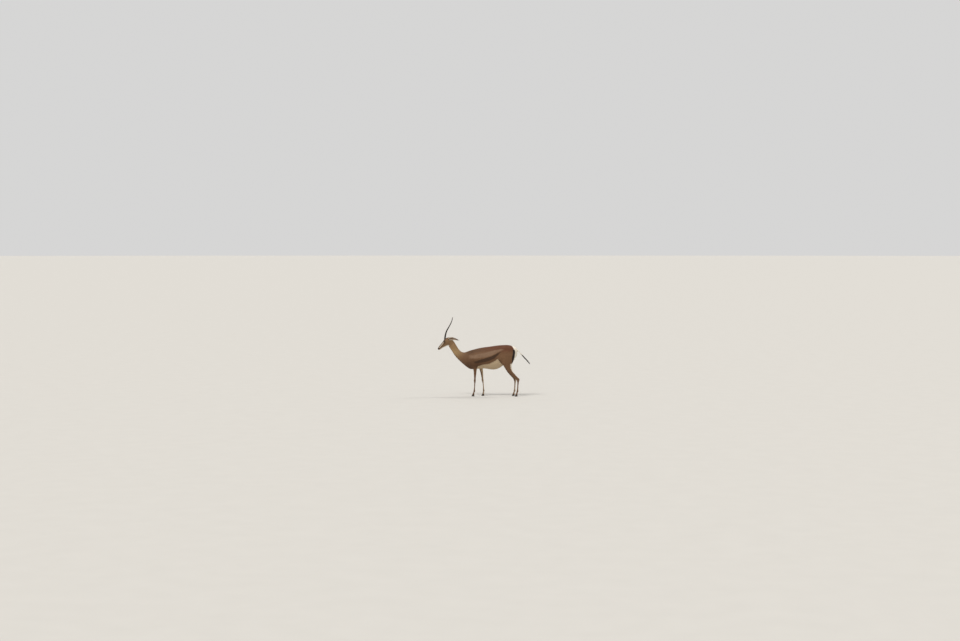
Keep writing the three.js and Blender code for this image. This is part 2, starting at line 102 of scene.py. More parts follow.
FLESH = ["head", "neck", "torso", "foreleg_left", "foreleg_right", "hindleg_left", "hindleg_right"]
SIDES = {"left": 1, "right": -1}
CLAWS = [f"{leg}_{side}_{half}" for leg in ("foreleg", "hindleg") for side in SIDES
         for half in ("inner", "outer")]

EYE_RADIUS = 0.0165
EYE_OPENING = (0.0138, 0.0100)
ALMOND = 0.22
EAR_REACH, EAR_START, EAR_WALL = 0.034, 0.2, 0.0026


# Small tools


def curve(points, places):
    """Points at places from 0 to 1 on a smooth line through the given ones."""
    points = np.array(points, float)
    ends = 2 * points[0] - points[1], 2 * points[-1] - points[-2]
    points = np.vstack([ends[0], points, ends[1]])
    at = np.clip(np.atleast_1d(places), 0, 1) * (len(points) - 3)
    first = np.minimum(at.astype(int), len(points) - 4)
    t = (at - first)[:, None]
    a, b, c, d = (points[first + k] for k in range(4))
    return b + 0.5 * t * (c - a + t * (2 * a - 5 * b + 4 * c - d + t * (3 * (b - c) + d - a)))


def heading(points, places, step=0.01):
    """Unit directions of the line at these places."""
    start = np.clip(places, 0, 1 - step)
    return unit(curve(points, start + step) - curve(points, start))


def sided(points, side):
    return [(side * x, y, z) for x, y, z in points]


def unit(vectors):
    return vectors / np.maximum(np.linalg.norm(vectors, axis=-1, keepdims=True), 1e-12)


def steps(value, low, high):
    """From 0 at low to 1 at high, smoothly."""
    t = np.clip((value - low) / (high - low), 0, 1)
    return t * t * (3 - 2 * t)


def on_head(along, above, out=0.0):
    return HEAD_ORIGIN + along * ALONG + above * ABOVE + np.array([out, 0, 0])


def in_head(points):
    """The head's own coordinates of these points: along, above and out."""
    local = points - HEAD_ORIGIN
    return local @ ALONG, local @ ABOVE, np.abs(points[:, 0])


def to_line(points, start, end):
    """How far points are from a straight stretch between two ends."""
    start, end = np.array(start, float), np.array(end, float)
    stretch = end - start
    t = np.clip((points - start) @ stretch / max(stretch @ stretch, 1e-12), 0, 1)
    return np.linalg.norm(points - start - t[:, None] * stretch, axis=1)


def to_lips(points):
    local = np.stack(in_head(points), 1)
    return np.minimum(to_line(local, LIPS[0], LIPS[1]), to_line(local, LIPS[1], LIPS[2]))


def to_nostril(points):
    return to_line(np.stack(in_head(points), 1), *NOSTRIL)


def leg_shift(points, front):
    """How far a leg of the far side stands behind (or, behind, ahead of) the near one, by height."""
    z = points[:, 2]
    if front:
        return 0.100 * np.clip((0.760 - z) / 0.260, 0, 1) + 0.078 * np.clip(1 - z / 0.500, 0, 1)
    return -0.057 * np.clip((0.700 - z) / 0.400, 0, 1) ** 1.2


def leg_middle(points, front):
    """At each point's height: a far leg's shift, and how far out and how far back a near leg's middle is."""
    line = np.array(FORE_LINE if front else HIND_LINE)[::-1]
    shift = np.where(points[:, 0] > 0, 0, leg_shift(points, front))
    return shift, *(np.interp(points[:, 2], line[:, 2], line[:, k]) for k in (0, 1))


def moved(start, *moves):
    """Points off the given ones, by amounts along directions."""
    for amount, way in moves:
        start = start + way * amount[:, None]
    return start


def bent(across, along, place):
    """A grid bent to the points that place(u, v) gives for u across and v along it, each from 0 to 1."""
    shape = bmesh.new()
    bmesh.ops.create_grid(shape, x_segments=across, y_segments=along, size=0.5)
    spots = np.array([vert.co for vert in shape.verts]) + 0.5
    for vert, point in zip(shape.verts, place(spots[:, 0], spots[:, 1])):
        vert.co = point
    bmesh.ops.remove_doubles(shape, verts=shape.verts, dist=MERGE)
    return shape


def closed(shape):
    """Fills the open ends and turns the faces outwards."""
    bmesh.ops.holes_fill(shape, edges=[edge for edge in shape.edges if edge.is_boundary], sides=0)
    bmesh.ops.recalc_face_normals(shape, faces=shape.faces)
    return shape


def piece(name, shape):
    """A new object from a bmesh or a mesh."""
    mesh = shape
    if isinstance(shape, bmesh.types.BMesh):
        mesh = bpy.data.meshes.new(name)
        shape.to_mesh(mesh)
        shape.free()
    thing = bpy.data.objects.new(name, mesh)
    bpy.context.scene.collection.objects.link(thing)
    mesh.shade_smooth()
    return thing


def finished(thing, kind, **settings):
    """The object's mesh with one modifier applied; the object itself is removed."""
    modifier = thing.modifiers.new(kind.lower(), kind)
    for key, value in settings.items():
        setattr(modifier, key, value)
    graph = bpy.context.evaluated_depsgraph_get()
    mesh = bpy.data.meshes.new_from_object(thing.evaluated_get(graph))
    bpy.data.objects.remove(thing)
    return mesh


def shape_of(mesh):
    shape = bmesh.new()
    shape.from_mesh(mesh)
    return shape


def solids(names):
    """A joined copy of these solids, with their corners merged."""
    shape = bmesh.new()
    for name in names:
        shape.from_mesh(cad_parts[name].data)
    bmesh.ops.remove_doubles(shape, verts=shape.verts, dist=MERGE)
    return shape


def smoothed(shape, verts, rounds):
    for _ in range(rounds):
        bmesh.ops.smooth_vert(shape, verts=verts, factor=0.5, use_axis_x=True, use_axis_y=True, use_axis_z=True)


def remeshed(shape, voxel, rounds):
    """The shape as even quads of one size, smoothed."""
    shape = shape_of(finished(piece("rough", shape), "REMESH", mode="VOXEL", voxel_size=voxel))
    smoothed(shape, shape.verts, rounds)
    return shape


def read(rows, key):
    """Three numbers of each row of a mesh."""
    found = np.empty(len(rows) * 3, np.float32)
    rows.foreach_get(key, found)
    return found.reshape(-1, 3).astype(float)


def places(mesh):
    return read(mesh.vertices, "co")


def facings(mesh):
    return read(mesh.vertex_normals, "vector")


def put(mesh, points):
    """Moves the mesh's vertices to these points."""
    mesh.vertices.foreach_set("co", points.astype(np.float32).ravel())
    mesh.update()


def keep_numbers(mesh, numbers):
    """Stores each named row of numbers on the mesh's vertices."""
    for name, values in numbers.items():
        mesh.attributes.new(name, "FLOAT", "POINT").data.foreach_set("value", values.astype(np.float32))


# The skin


def ear_sizes(v):
    wide = np.interp(v, np.linspace(0, 1, 8), [0.010, 0.012, 0.019, 0.026, 0.027, 0.020, 0.010, 0.0012])
    deep = np.interp(v, np.linspace(0, 1, 8), [0.010, 0.0115, 0.013, 0.013, 0.011, 0.008, 0.005, 0.0012])
    return wide, deep


def ear_frame(side, v):
    """Along each ear: its middle line and the directions across it and out of its cup."""
    line = sided(EAR_LINE, side)
    back = heading(line, v)
    across = unit(np.cross(back, np.array([0.86 * side, -0.2, -0.42])))
    return curve(line, v), back, across, np.cross(across, back)


def ear(side):
    """A leaf-shaped cup, closed at its root and open to the side above it."""
    def place(u, v):
        middle, _, across, opening = ear_frame(side, v)
        wide, deep = (np.maximum(size - EAR_WALL / 2, 0.0008) for size in ear_sizes(v))
        reach = np.radians(174 - 72 * steps(v, 0.12, 0.42) - 10 * steps(v, 0.6, 1))
        turn = (2 * u - 1) * reach
        ripple = 1 + 0.05 * np.sin(9 * v + 3 * u) * steps(v, 0.3, 0.6)
        return moved(middle, (wide * ripple * np.sin(turn), across), (-deep * np.cos(turn), opening))

    shape = bent(22, 44, place)
    bmesh.ops.recalc_face_normals(shape, faces=shape.faces)
    bmesh.ops.solidify(shape, geom=shape.faces[:], thickness=EAR_WALL)
    bmesh.ops.recalc_face_normals(shape, faces=shape.faces)
    return shape


def eye_frame(side):
    """Where an eye looks: its middle, and the directions out of it, across it and up it."""
    outward = unit(0.86 * side * np.array([1, 0, 0]) + 0.42 * ALONG + 0.28 * ABOVE)
    across = ALONG - 0.22 * ABOVE
    across = unit(across - outward * (across @ outward))
    return on_head(0.117, 0.029, side * 0.0335), outward, across, -side * np.cross(outward, across)


def ear_root(side):
    """Flesh that fills the head round the root of an ear, as a low collar."""
    def place(u, v):
        share = 0.02 + 0.28 * v
        middle, _, across, opening = ear_frame(side, share)
        wide, deep = (size + 0.0032 - 0.0062 * steps(v, 0.45, 0.85) for size in ear_sizes(share))
        drawn_in = np.sqrt(np.maximum(1 - np.abs(2 * v - 1) ** 6, 0.04))
        turn = 2 * np.pi * u
        return moved(middle, (wide * drawn_in * np.sin(turn), across), (-deep * drawn_in * np.cos(turn), opening))

    return closed(bent(18, 16, place))


def round_eye(points, side):
    """Places round an eye: offsets from its middle, and 1 along the edge of its opening."""
    centre, outward, across, upward = eye_frame(side)
    offset = points - centre
    x, y = offset @ across / EYE_OPENING[0], offset @ upward / EYE_OPENING[1]
    reach = np.hypot(x, y / (1 - ALMOND * np.clip(x, -1, 1) ** 2))
    return offset, np.where(offset @ outward > 0, reach, 9.0)


def eye_reach(points):
    return np.minimum(*(round_eye(points, side)[1] for side in SIDES.values()))


def laid_round_eyes(points):
    """The skin as a fold over each eyeball, sunk under it in the opening."""
    for side in SIDES.values():
        offset, reach = round_eye(points, side)
        far = np.linalg.norm(offset, axis=1)
        over = steps(reach, 0.90, 1.10)
        wanted = EYE_RADIUS - 0.004 + 0.0060 * over + 0.0012 * np.exp(-((reach - 1.35) / 0.25) ** 2)
        wanted = np.where(reach < 1.1, wanted, np.maximum(far, wanted))
        points = points + unit(offset) * ((wanted - far) * steps(reach, 2.2, 1.25))[:, None]
    return points


def lid_line(turn):
    """The almond of an eye's opening, and how far the eyeball stands out there."""
    x, y = EYE_OPENING[0] * np.cos(turn), EYE_OPENING[1] * np.sin(turn) * (1 - ALMOND * np.cos(turn) ** 2)
    return x, y


def eyeball_rise(x, y):
    return np.sqrt(np.maximum(EYE_RADIUS**2 - x**2 - y**2, 0))


def lid(side):
    """The rim of both lids, a thin almond ring that lies on the eyeball."""
    centre, outward, across, upward = eye_frame(side)

    def place(u, v):
        turn, around = 2 * np.pi * v, 2 * np.pi * u
        thick = 0.0014 + 0.0006 * steps(np.sin(turn), 0, 1)
        x, y = lid_line(turn)
        x = x * (1 + 0.05 * np.cos(turn))
        out = unit(np.stack([x, y, 0 * x], 1))
        swing = thick * np.cos(around)
        lift = eyeball_rise(x, y) + 0.0007 + thick * np.sin(around) * 0.9
        return centre + moved(0, (x + swing * out[:, 0], across), (y + swing * out[:, 1], upward),
                              (lift, outward))

    return closed(bent(10, 44, place))


def tail_stem():
    def place(u, v):
        turn = 2 * np.pi * u
        radius = np.interp(v, np.linspace(0, 1, 7), [0.0135, 0.013, 0.0095, 0.0075, 0.006, 0.005, 0.0025])
        along = heading(TAIL_LINE, v * 0.86)
        upward = np.stack([0 * v, along[:, 2], -along[:, 1]], 1)
        return moved(curve(TAIL_LINE, v * 0.86), (0.85 * radius * np.cos(turn), upward),
                     (1.1 * radius * np.sin(turn), SIDEWAYS))

    return closed(bent(16, 40, place))


# Muscles, bones and hollows: from, to, reach and rise in metres, on both sides
TRUNK_FORMS = [
    [(0.080, -0.21, 0.80), (0.105, -0.17, 0.67), 0.034, 0.0045],
    [(0.100, -0.235, 0.62), (0.100, -0.225, 0.60), 0.050, 0.0050],
    [(0.105, -0.13, 0.655), (0.100, -0.105, 0.565), 0.038, 0.0055],
    [(0.115, -0.060, 0.72), (0.100, -0.068, 0.54), 0.017, -0.0045],
    [(0.105, 0.290, 0.815), (0.112, 0.330, 0.760), 0.045, -0.0070],
    [(0.085, 0.385, 0.880), (0.090, 0.395, 0.870), 0.028, 0.0060],
    [(0.100, 0.400, 0.740), (0.095, 0.385, 0.620), 0.048, 0.0060],
    [(0.092, 0.525, 0.820), (0.088, 0.505, 0.590), 0.013, -0.0035],
    [(0.092, 0.345, 0.590), (0.092, 0.350, 0.580), 0.032, 0.0060],
    [(0.100, 0.330, 0.640), (0.108, 0.265, 0.700), 0.016, 0.0040],
    [(0.098, 0.300, 0.600), (0.108, 0.235, 0.640), 0.018, -0.0040],
    [(0.040, -0.560, 0.865), (0.062, -0.400, 0.690), 0.013, -0.0045],
    [(0.046, -0.530, 0.900), (0.072, -0.340, 0.740), 0.028, 0.0035],
    [(0.000, -0.622, 0.905), (0.000, -0.612, 0.890), 0.020, 0.0030],
    [(0.080, -0.255, 0.740), (0.092, -0.265, 0.640), 0.016, -0.0035],
]
TRUNK_RELIEF = 1.4
RIBS = [[(0.118, y, 0.735), (0.122, y + 0.030, 0.590), 0.0085, -0.0006]
        for y in np.arange(-0.02, 0.26, 0.038)]
# The same on the head: along, above, out
HEAD_FORMS = [
    [(0.134, 0.012, 0.040), (0.160, 0.000, 0.030), 0.0045, -0.0030],
    [(0.150, 0.020, 0.024), (0.250, -0.004, 0.021), 0.0080, -0.0018],
    [(0.060, -0.045, 0.042), (0.120, -0.050, 0.036), 0.0200, 0.0030],
    [(0.150, -0.030, 0.034), (0.200, -0.030, 0.028), 0.0120, -0.0022],
    [LIPS[0], LIPS[1], 0.0017, -0.0036],
    [LIPS[1], LIPS[2], 0.0017, -0.0036],
    [(0.232, -0.021, 0.026), (0.282, -0.024, 0.023), 0.0055, 0.0016],
    [(0.235, -0.041, 0.024), (0.284, -0.040, 0.018), 0.0045, 0.0012],
    [*NOSTRIL, 0.0023, -0.0068],
    [(0.274, -0.003, 0.0165), (0.288, -0.006, 0.0135), 0.0050, 0.0020],
    [(0.288, -0.021, 0.0200), (0.295, -0.026, 0.0170), 0.0035, 0.0014],
    [(0.303, -0.028, 0.000), (0.298, -0.010, 0.000), 0.0016, -0.0020],
]
LEG_FORMS = {
    True: [[0.286, -0.020, 0.020, 0.0030], [0.250, 0.014, 0.010, 0.0015], [0.105, 0.012, 0.013, 0.0020],
           [0.190, 0.006, 0.007, -0.0016], [0.150, 0.006, 0.007, -0.0016]],
    False: [[0.300, 0.028, 0.014, 0.0025], [0.360, 0.012, 0.016, -0.0040], [0.405, 0.012, 0.014, -0.0030],
            [0.190, 0.006, 0.007, -0.0016], [0.150, 0.006, 0.007, -0.0016], [0.105, 0.012, 0.013, 0.0020]],
}


def coat_depth(points):
    """How far the skin lies inside the outline of the coat: deep behind the hoof's rim, proud just above it."""
    _, y, z = points.T
    legs = steps(z, 0.56, 0.42)
    head = steps(in_head(points)[0], -0.06, 0.02)
    depth = COAT_DEPTH["body"] + (COAT_DEPTH["leg"] - COAT_DEPTH["body"]) * legs
    depth = depth * (1 - head) + COAT_DEPTH["head"] * head + 0.0052 * steps(z, 0.028, 0.016)
    depth -= 0.0030 * np.exp(-(((z - 0.031) / 0.008) ** 2))
    tail = steps(y, 0.63, 0.68) * (1 - legs)
    return depth * (1 - 0.7 * tail)


def sculpted(points):
    """How far each point of the skin rises along its normal."""
    mirrored = np.hstack([np.abs(points[:, :1]), points[:, 1:]])
    y, z = points.T[1:]
    rise = -coat_depth(points)
    above_legs = steps(z, 0.42, 0.50)
    for start, end, reach, height in TRUNK_FORMS + RIBS:
        rise += TRUNK_RELIEF * height * np.exp(-(to_line(mirrored, start, end) / reach) ** 2) * above_legs
    local = np.stack(in_head(points), 1)
    for start, end, reach, height in HEAD_FORMS:
        rise += height * np.exp(-(to_line(local, start, end) / reach) ** 2)
    for front, forms in LEG_FORMS.items():
        shift, _, middle = leg_middle(points, front)
        own = ((y < MID_BODY) == front) & (z < 0.44)
        for level, behind, reach, height in forms:
            gap = np.hypot(y - shift - middle - behind, z - level)
            rise += np.where(own, height * np.exp(-(gap / reach) ** 2), 0)
    return rise


def cropped(shape, gap, keep_front):
    """Cuts a shape across the upper neck and keeps one side of it."""
    at, normal = NECK_CUT
    sign = -1 if keep_front else 1
    geometry = shape.verts[:] + shape.edges[:] + shape.faces[:]
    bmesh.ops.bisect_plane(shape, geom=geometry, plane_co=at + normal * sign * gap / 2, plane_no=normal,
                           clear_outer=keep_front, clear_inner=not keep_front)
    return shape


def refined(shape):
    """Finer faces round the eyes, the lips and the nostrils."""
    def near():
        spots = np.array([vert.co for vert in shape.verts])
        fine = (eye_reach(spots) < 2.3) | (to_lips(spots) < 0.008) | (to_nostril(spots) < 0.013)
        return [vert for vert, own in zip(shape.verts, fine) if own]

    chosen = {edge for vert in near() for edge in vert.link_edges}
    bmesh.ops.subdivide_edges(shape, edges=list(chosen), cuts=1, use_grid_fill=True)
    smoothed(shape, near(), 1)
    bmesh.ops.recalc_face_normals(shape, faces=shape.faces)


def make_skin():
    """One closed skin, finer on the head, with the ears, lids and tail grown to it."""
    body = solids(FLESH + [f"hoof_{claw}" for claw in CLAWS])
    body.from_mesh(finished(piece("stem", tail_stem()), "TRIANGULATE"))
    body = cropped(remeshed(body, BODY_VOXEL, 6), 0.004, False)
    front = solids(["head", "neck", "eye_left", "eye_right"])
    for side in SIDES.values():
        front.from_mesh(finished(piece("root", ear_root(side)), "TRIANGULATE"))
    front = cropped(remeshed(front, HEAD_VOXEL, 3), 0.004, True)
    joined = bpy.data.meshes.new("front")
    front.to_mesh(joined)
    front.free()
    body.from_mesh(joined)
    bmesh.ops.bridge_loops(body, edges=[edge for edge in body.edges if edge.is_boundary])
    at, normal = NECK_CUT
    smoothed(body, [vert for vert in body.verts if abs((vert.co - at).dot(normal)) < 0.014], 8)
    refined(body)
    skin = piece("skin", body)
    points, normals = places(skin.data), facings(skin.data)
    put(skin.data, laid_round_eyes(moved(points, (sculpted(points), normals))))
    for side in SIDES.values():
        for grown in (ear(side), lid(side)):
            tool = piece("grown", grown)
            skin = piece("skin", finished(skin, "BOOLEAN", operation="UNION", object=tool, solver="EXACT"))
            bpy.data.objects.remove(tool)
    skin.data.calc_loop_triangles()
    share = min(1, SKIN_TRIANGLES / len(skin.data.loop_triangles))
    skin = piece("skin", finished(skin, "DECIMATE", ratio=share))
    skin.data.name = "skin"
    return skin


# Markings, the same for skin and coat


OUTSIDE = -0.05


def both(*depths):
    """Depth inside all of these at once, in metres; below zero outside."""
    return np.minimum.reduce(np.broadcast_arrays(*depths))


def either(*depths):
    return np.maximum.reduce(np.broadcast_arrays(*depths))


def only(where, depth):
    """The depth where it counts, and far outside elsewhere."""
    return np.where(where, depth, OUTSIDE)


def band(y, z, upper, lower):
    """How deep a point lies between two lines of the flank, which run as y, z."""
    (upper_y, upper_z), (lower_y, lower_z) = np.array(upper).T, np.array(lower).T
    ends = both(y - max(upper_y[0], lower_y[0]), min(upper_y[-1], lower_y[-1]) - y)
    return both(np.interp(y, upper_y, upper_z) - z, z - np.interp(y, lower_y, lower_z), 0.35 * ends)


def head_marks(points):
    """White, dark and brown on the head, and from 0 to 1 how much of each place is head."""
    along, above, out = in_head(points)
    z = points[:, 2]
    base = np.interp(along, SKULL_ALONG[2:], SKULL_BASE[2:])
    tall = np.interp(along, SKULL_ALONG, SKULL_TOP) - base
    height = (above - base) / tall
    behind = along - 0.25 * (above + 0.02)
    head = (along > -0.004 + 0.25 * (above + 0.02)) & (above > base - 0.02) & (z > HEAD_FLOOR)
    share = steps(behind, -0.05, 0.05) * (above > base - 0.02) * (z > HEAD_FLOOR)

    chin_top = 0.18 * steps(along, 0.02, 0.10) + 0.10 * steps(along, 0.15, 0.28) - 0.06
    chin = both(0.06 * (chin_top - height), 0.3 * (along - 0.098),
                above - base + 0.008 + np.maximum(along - 0.10, 0))
    brow = 0.010 - to_line(np.stack([along, above, out], 1), (0.124, 0.038, 0.034), (0.100, 0.056, 0.024))
    brow = either(brow, 0.006 * (1.75 - eye_reach(points)))
    stripe_line = np.interp(along, [0.085, 0.12, 0.16, 0.22, 0.285], [0.86, 0.93, 0.79, 0.70, 0.66])
    stripe = 0.0046 + 0.0022 * steps(along, 0.16, 0.10) - np.abs(height - stripe_line) * tall
    stripe = both(stripe - 0.4 * np.maximum(0.016 - out, 0), along - 0.112, 0.262 - along, -brow)
    white = only(head, either(chin, stripe))

    dark_line = np.interp(along, [0.22, 0.275], [0.60, 0.62])
    cheek = both(0.0075 - np.abs(height - dark_line) * tall, along - 0.120, 0.282 - along)
    bridge = both((height - 0.84) * tall - 0.3 * np.maximum(0.150 - along, 0), 0.0022)
    nose = either(0.021 - np.hypot(along - 0.236, 1.6 * out) + (height - 0.86) * 0.06,
                  both(along - 0.256, (height - 0.40) * 0.05))
    brown = only(head, either(cheek, bridge, nose, brow))

    muzzle = only(head, both(along - 0.286, 0.011 - out, (height - 0.42) * 0.05))
    dark = either(muzzle, 0.0040 - to_nostril(points), 0.0021 - to_lips(points),
                  (1.17 - eye_reach(points)) * 0.012)
    crown = steps(height, 0.80, 0.97)
    throat = only((along < 0.0) & (z > HEAD_FLOOR), np.inf)
    return white, dark, brown, share, crown, throat


def markings(points, normals):
    """Depth inside each marking in metres, and from 0 to 1 how much each ground colour shows."""
    x, y, z = points.T
    out = np.abs(x)
    inward, rearward, downward = -normals[:, 0] * np.sign(x), normals[:, 1], -normals[:, 2]
    (fore_shift, _, _), (hind_shift, _, hind_middle) = leg_middle(points, True), leg_middle(points, False)
    fore_y, hind_y = y - fore_shift, y - hind_shift
    face_white, face_dark, face_brown, headness, crown, throat = head_marks(points)

    stripe = band(y, z, [(-0.160, 0.628), (-0.04, 0.668), (0.046, 0.694), (0.161, 0.730), (0.275, 0.790),
                         (0.312, 0.806)],
                  [(-0.160, 0.596), (-0.04, 0.612), (0.03, 0.624), (0.112, 0.646), (0.203, 0.686), (0.312, 0.795)])
    pale = band(y, z, [(-0.24, 0.735), (-0.10, 0.762), (0.05, 0.790), (0.20, 0.832), (0.30, 0.852),
                       (0.36, 0.850)],
                [(-0.24, 0.690), (-0.10, 0.690), (0.05, 0.708), (0.16, 0.742), (0.275, 0.800), (0.36, 0.845)])
    # Painted shadow: a dark line along the flank's fold in front of the thigh, drawn with the brown marks and cut
    # out of the white belly.
    fold_shadow = 0.0060 - to_line(points * [0, 1, 1], (0, 0.274, 0.672), (0, 0.334, 0.596))
    fold_shadow -= 0.4 * np.maximum(0.05 - out, 0)
    belly = np.interp(y, [-0.10, 0.0, 0.11, 0.20, 0.28, 0.34], [0.540, 0.574, 0.590, 0.636, 0.684, 0.640]) - z
    belly = both(0.45 * belly, z - 0.472, 0.8 * (y + 0.085 - 0.095 * steps(z, 0.590, 0.545) * (x < 0)),
                 np.interp(z, [0.590, 0.678], [0.340, 0.270]) - y, -fold_shadow, 0.03)
    under = only((z > 0.44) & (fore_y > -0.16) & (y < 0.40), (downward - 0.55) * 0.05)

    fore = (y < MID_BODY) & (z < 0.54)
    hind = (y > MID_BODY) & (z < 0.66)
    pale_leg = 0.75 * rearward + 0.55 * inward - 0.64 + 0.36 * steps(z, 0.40, 0.48)
    pale_leg = np.where(hind, 0.5 * rearward + 0.7 * inward - 0.74 + 0.40 * steps(z, 0.40, 0.52), pale_leg)
    ham = both((rearward - 0.48 - 0.35 * steps(z, 0.46, 0.36)) * 0.03, z - 0.370, 0.70 - z,
               hind_y - np.interp(z, [0.52, 0.61], [0.30, 0.55]))
    pale_leg = either(only(fore | hind, 0.03 * pale_leg), only(y > 0.30, ham))
    hock = only(hind & (z > 0.27), (rearward - 0.72) * 0.02 - 0.3 * np.maximum(z - 0.46, 0)
                - 0.3 * np.maximum(0.012 - (hind_y - hind_middle), 0))
    knee = only(fore, 0.010 - np.hypot(0.5 * (z - 0.285), 0.03 * (1 + rearward)))
    shin = only(fore & (z < 0.30), (-0.8 * rearward - 0.72) * 0.02)
    coronet = 0.4 * (0.034 - z)

    rump_edge = np.interp(z, [0.50, 0.55, 0.60, 0.70, 0.80, 0.84, 0.88],
                          [0.535, 0.534, 0.542, 0.558, 0.572, 0.566, 0.545])
    rump = only(z > 0.50, hind_y - rump_edge)
    rump = either(rump, np.where((y > 0.5) & (z > 0.78), 0.052 - out - np.maximum(0.548 - y, 0), rump),
                  np.where((y > 0.40) & (z > 0.50) & (z < 0.80), 0.048 - out, rump))
    tail = (y > 0.640) & (z > 0.5)
    rump = both(np.where(tail, 0.735 - y, rump), 0.03)
    bar = np.interp(z, [0.60, 0.66, 0.74, 0.80], [0.522, 0.535, 0.549, 0.556])
    bar = both(0.021 * steps(z, 0.57, 0.72) - np.abs(hind_y - bar), z - 0.600, 0.850 - z, (out - 0.054) * 0.5,
               (-inward - 0.34) * 0.04)

    red = steps(z, 0.74, 0.89) * steps(y, -0.30, 0.30) + 0.9 * headness * crown
    red = np.clip(red + 0.35 * steps(z, 0.80, 0.92) * (1 - headness), 0, 1)
    crest = np.interp(y, [-0.45, -0.30, -0.16, 0.00, 0.18, 0.34, 0.50],
                      [0.84, 0.806, 0.847, 0.884, 0.908, 0.924, 0.912])
    saddle = steps(z - crest, -0.085, -0.040) * steps(y, -0.36, -0.22) * (1 - red)
    elbow = np.exp(-(((y + 0.22) / 0.13) ** 2) - ((z - 0.575) / 0.12) ** 2)
    below_stripe = steps(y, -0.20, -0.12) * steps(y, 0.30, 0.22) * steps(0.46 * y + 0.640 - z, -0.03, 0.0)
    shins = 0.4 * steps(z, 0.50, 0.40) * steps(-rearward, -0.3, 0.8)
    shade = 0.75 * saddle + 0.85 * elbow + 0.45 * below_stripe * steps(z, 0.50, 0.54) + shins
    return {
        "white": either(belly, under, pale_leg, both(throat, (downward - 0.84) * 0.03), rump, face_white),
        "dark": either(bar, face_dark, coronet, both(only(tail, y - 0.735), 0.03)),
        "brown": either(stripe, fold_shadow, knee, shin, hock, face_brown),
        "pale": pale, "red": red, "shade": np.clip(shade, 0, 1), "legs": steps(z, 0.60, 0.40),
        "light": steps(y, -0.32, -0.50) * (1 - 0.7 * headness) * steps(z, 0.62, 0.82),
        # Painted shade on white hair: everywhere but the high rump the white is dimmed towards a shaded buff, half
        # as much on the head.
        "cream": (1 - steps(y, 0.44, 0.54) * steps(z, 0.38, 0.44)) * (1 - 0.5 * headness),
        "bare": np.full(len(points), OUTSIDE),
    }


def on_ear(points, side, v):
    """The nearest of the places v along an ear's middle line, the offset from it, and the ear's directions."""
    middle, back, across, opening = ear_frame(side, v)
    near = nearest(points, middle)
    return v[near], points - middle[near], back[near], across[near], opening[near]


def ear_markings(points, normals, numbers):
    """The cup of each ear is bare and pale inside, and its back is fawn with a dark edge and tip."""
    for side in SIDES.values():
        v, offset, _, across, opening = on_ear(points, side, np.linspace(0, 1, 60))
        wide, deep = ear_sizes(v)
        edge = np.abs((offset * across).sum(1)) / np.maximum(wide, 0.001)
        own = (np.hypot(edge, (offset * opening).sum(1) / np.maximum(deep, 0.001)) < 1.12) & (v > 0.26)
        own |= (np.linalg.norm(offset, axis=1) < 0.012) & (v > 0.8)
        inside = (normals * opening).sum(1) > 0.15
        rim = np.where(inside, edge - 1.02, edge - 0.93) * 0.02 - 0.02 * steps(v, 0.50, 0.40)
        # Painted shade over the whole ear: its shade and shaded-white numbers are raised, and the bare cup takes
        # the darkened bare-skin colour.
        on_back = {"white": -0.02, "pale": OUTSIDE, "brown": (v - 0.72) * 0.04, "bare": numbers["bare"],
                   "dark": either(rim, (v - 0.90) * 0.05), "red": 0.15, "light": 0.6, "shade": 0.25, "cream": 0.6}
        in_cup = on_back | {"white": 0.004 + 0.004 * edge, "brown": OUTSIDE, "bare": (0.62 - edge) * 0.02}
        for key, value in on_back.items():
            numbers[key] = np.where(own, np.where(inside, in_cup[key], value), numbers[key])
    return numbers


def nearest(points, line):
    """For each point, which of the line's points is nearest."""
    near, least = np.zeros(len(points), int), np.full(len(points), np.inf)
    for i, spot in enumerate(line):
        gap = ((points - spot) ** 2).sum(1)
        closer = gap < least
        near[closer], least[closer] = i, gap[closer]
    return near


def marked(points, normals):
    return ear_markings(points, normals, markings(points, normals))


# The lie of the coat


def lie_lines():
    """Straight stretches along which the coat runs, as pairs of ends."""
    lines = [[on_head(0.300, -0.02), on_head(0.0, 0.0)],
             [on_head(0.02, 0.0), (0, -0.52, 0.86)], [(0, -0.52, 0.86), (0, -0.33, 0.72)],
             [(0, -0.33, 0.74), (0, 0.10, 0.70)], [(0, 0.10, 0.70), (0, 0.50, 0.77)]]
    for side in SIDES.values():
        for line, front in ((FORE_LINE, True), (HIND_LINE, False)):
            spots = np.array(sided(line, side))
            if side < 0:
                spots[:, 1] += leg_shift(spots, front)
            lines += [[spots[i], spots[i + 1]] for i in range(1, len(spots) - 1)]
        lines.append([(side * 0.05, 0.54, 0.84), (side * 0.06, 0.55, 0.62)])
    tail = curve(TAIL_LINE, np.linspace(0.1, 1, 4))
    return lines + [[tail[i], tail[i + 1]] for i in range(3)]


def lie(points, normals):
    """The way the coat runs at each point, along the skin."""
    total = np.zeros_like(points)
    for start, end in lie_lines():
        start, end = np.array(start, float), np.array(end, float)
        weight = 1 / (to_line(points, start, end) ** 2 + 0.02**2) ** 2
        total += weight[:, None] * unit(end - start)
    way = unit(total) + np.array([0, 0, -0.18])
    for side in SIDES.values():
        v, offset, back, _, _ = on_ear(points, side, np.linspace(0, 1, 40))
        own = (np.linalg.norm(offset, axis=1) < EAR_REACH) & (v > EAR_START)
        way = np.where(own[:, None], back, way)
    return unit(way - normals * (way * normals).sum(1)[:, None])


def near_ear(points):
    gaps = [np.linalg.norm(on_ear(points, side, np.linspace(0.05, 1, 30))[1], axis=1)
            for side in SIDES.values()]
    return np.minimum(*gaps) < EAR_REACH


def region_of(points):
    """The number of the coat piece that each place belongs to."""
    face = (in_head(points)[0] > -0.045) & (points[:, 2] > HEAD_FLOOR)
    legs = (points[:, 2] < 0.50) & (np.abs(points[:, 0]) > 0.02)
    return np.select([near_ear(points), face, legs, points[:, 0] > 0], range(4), 4)


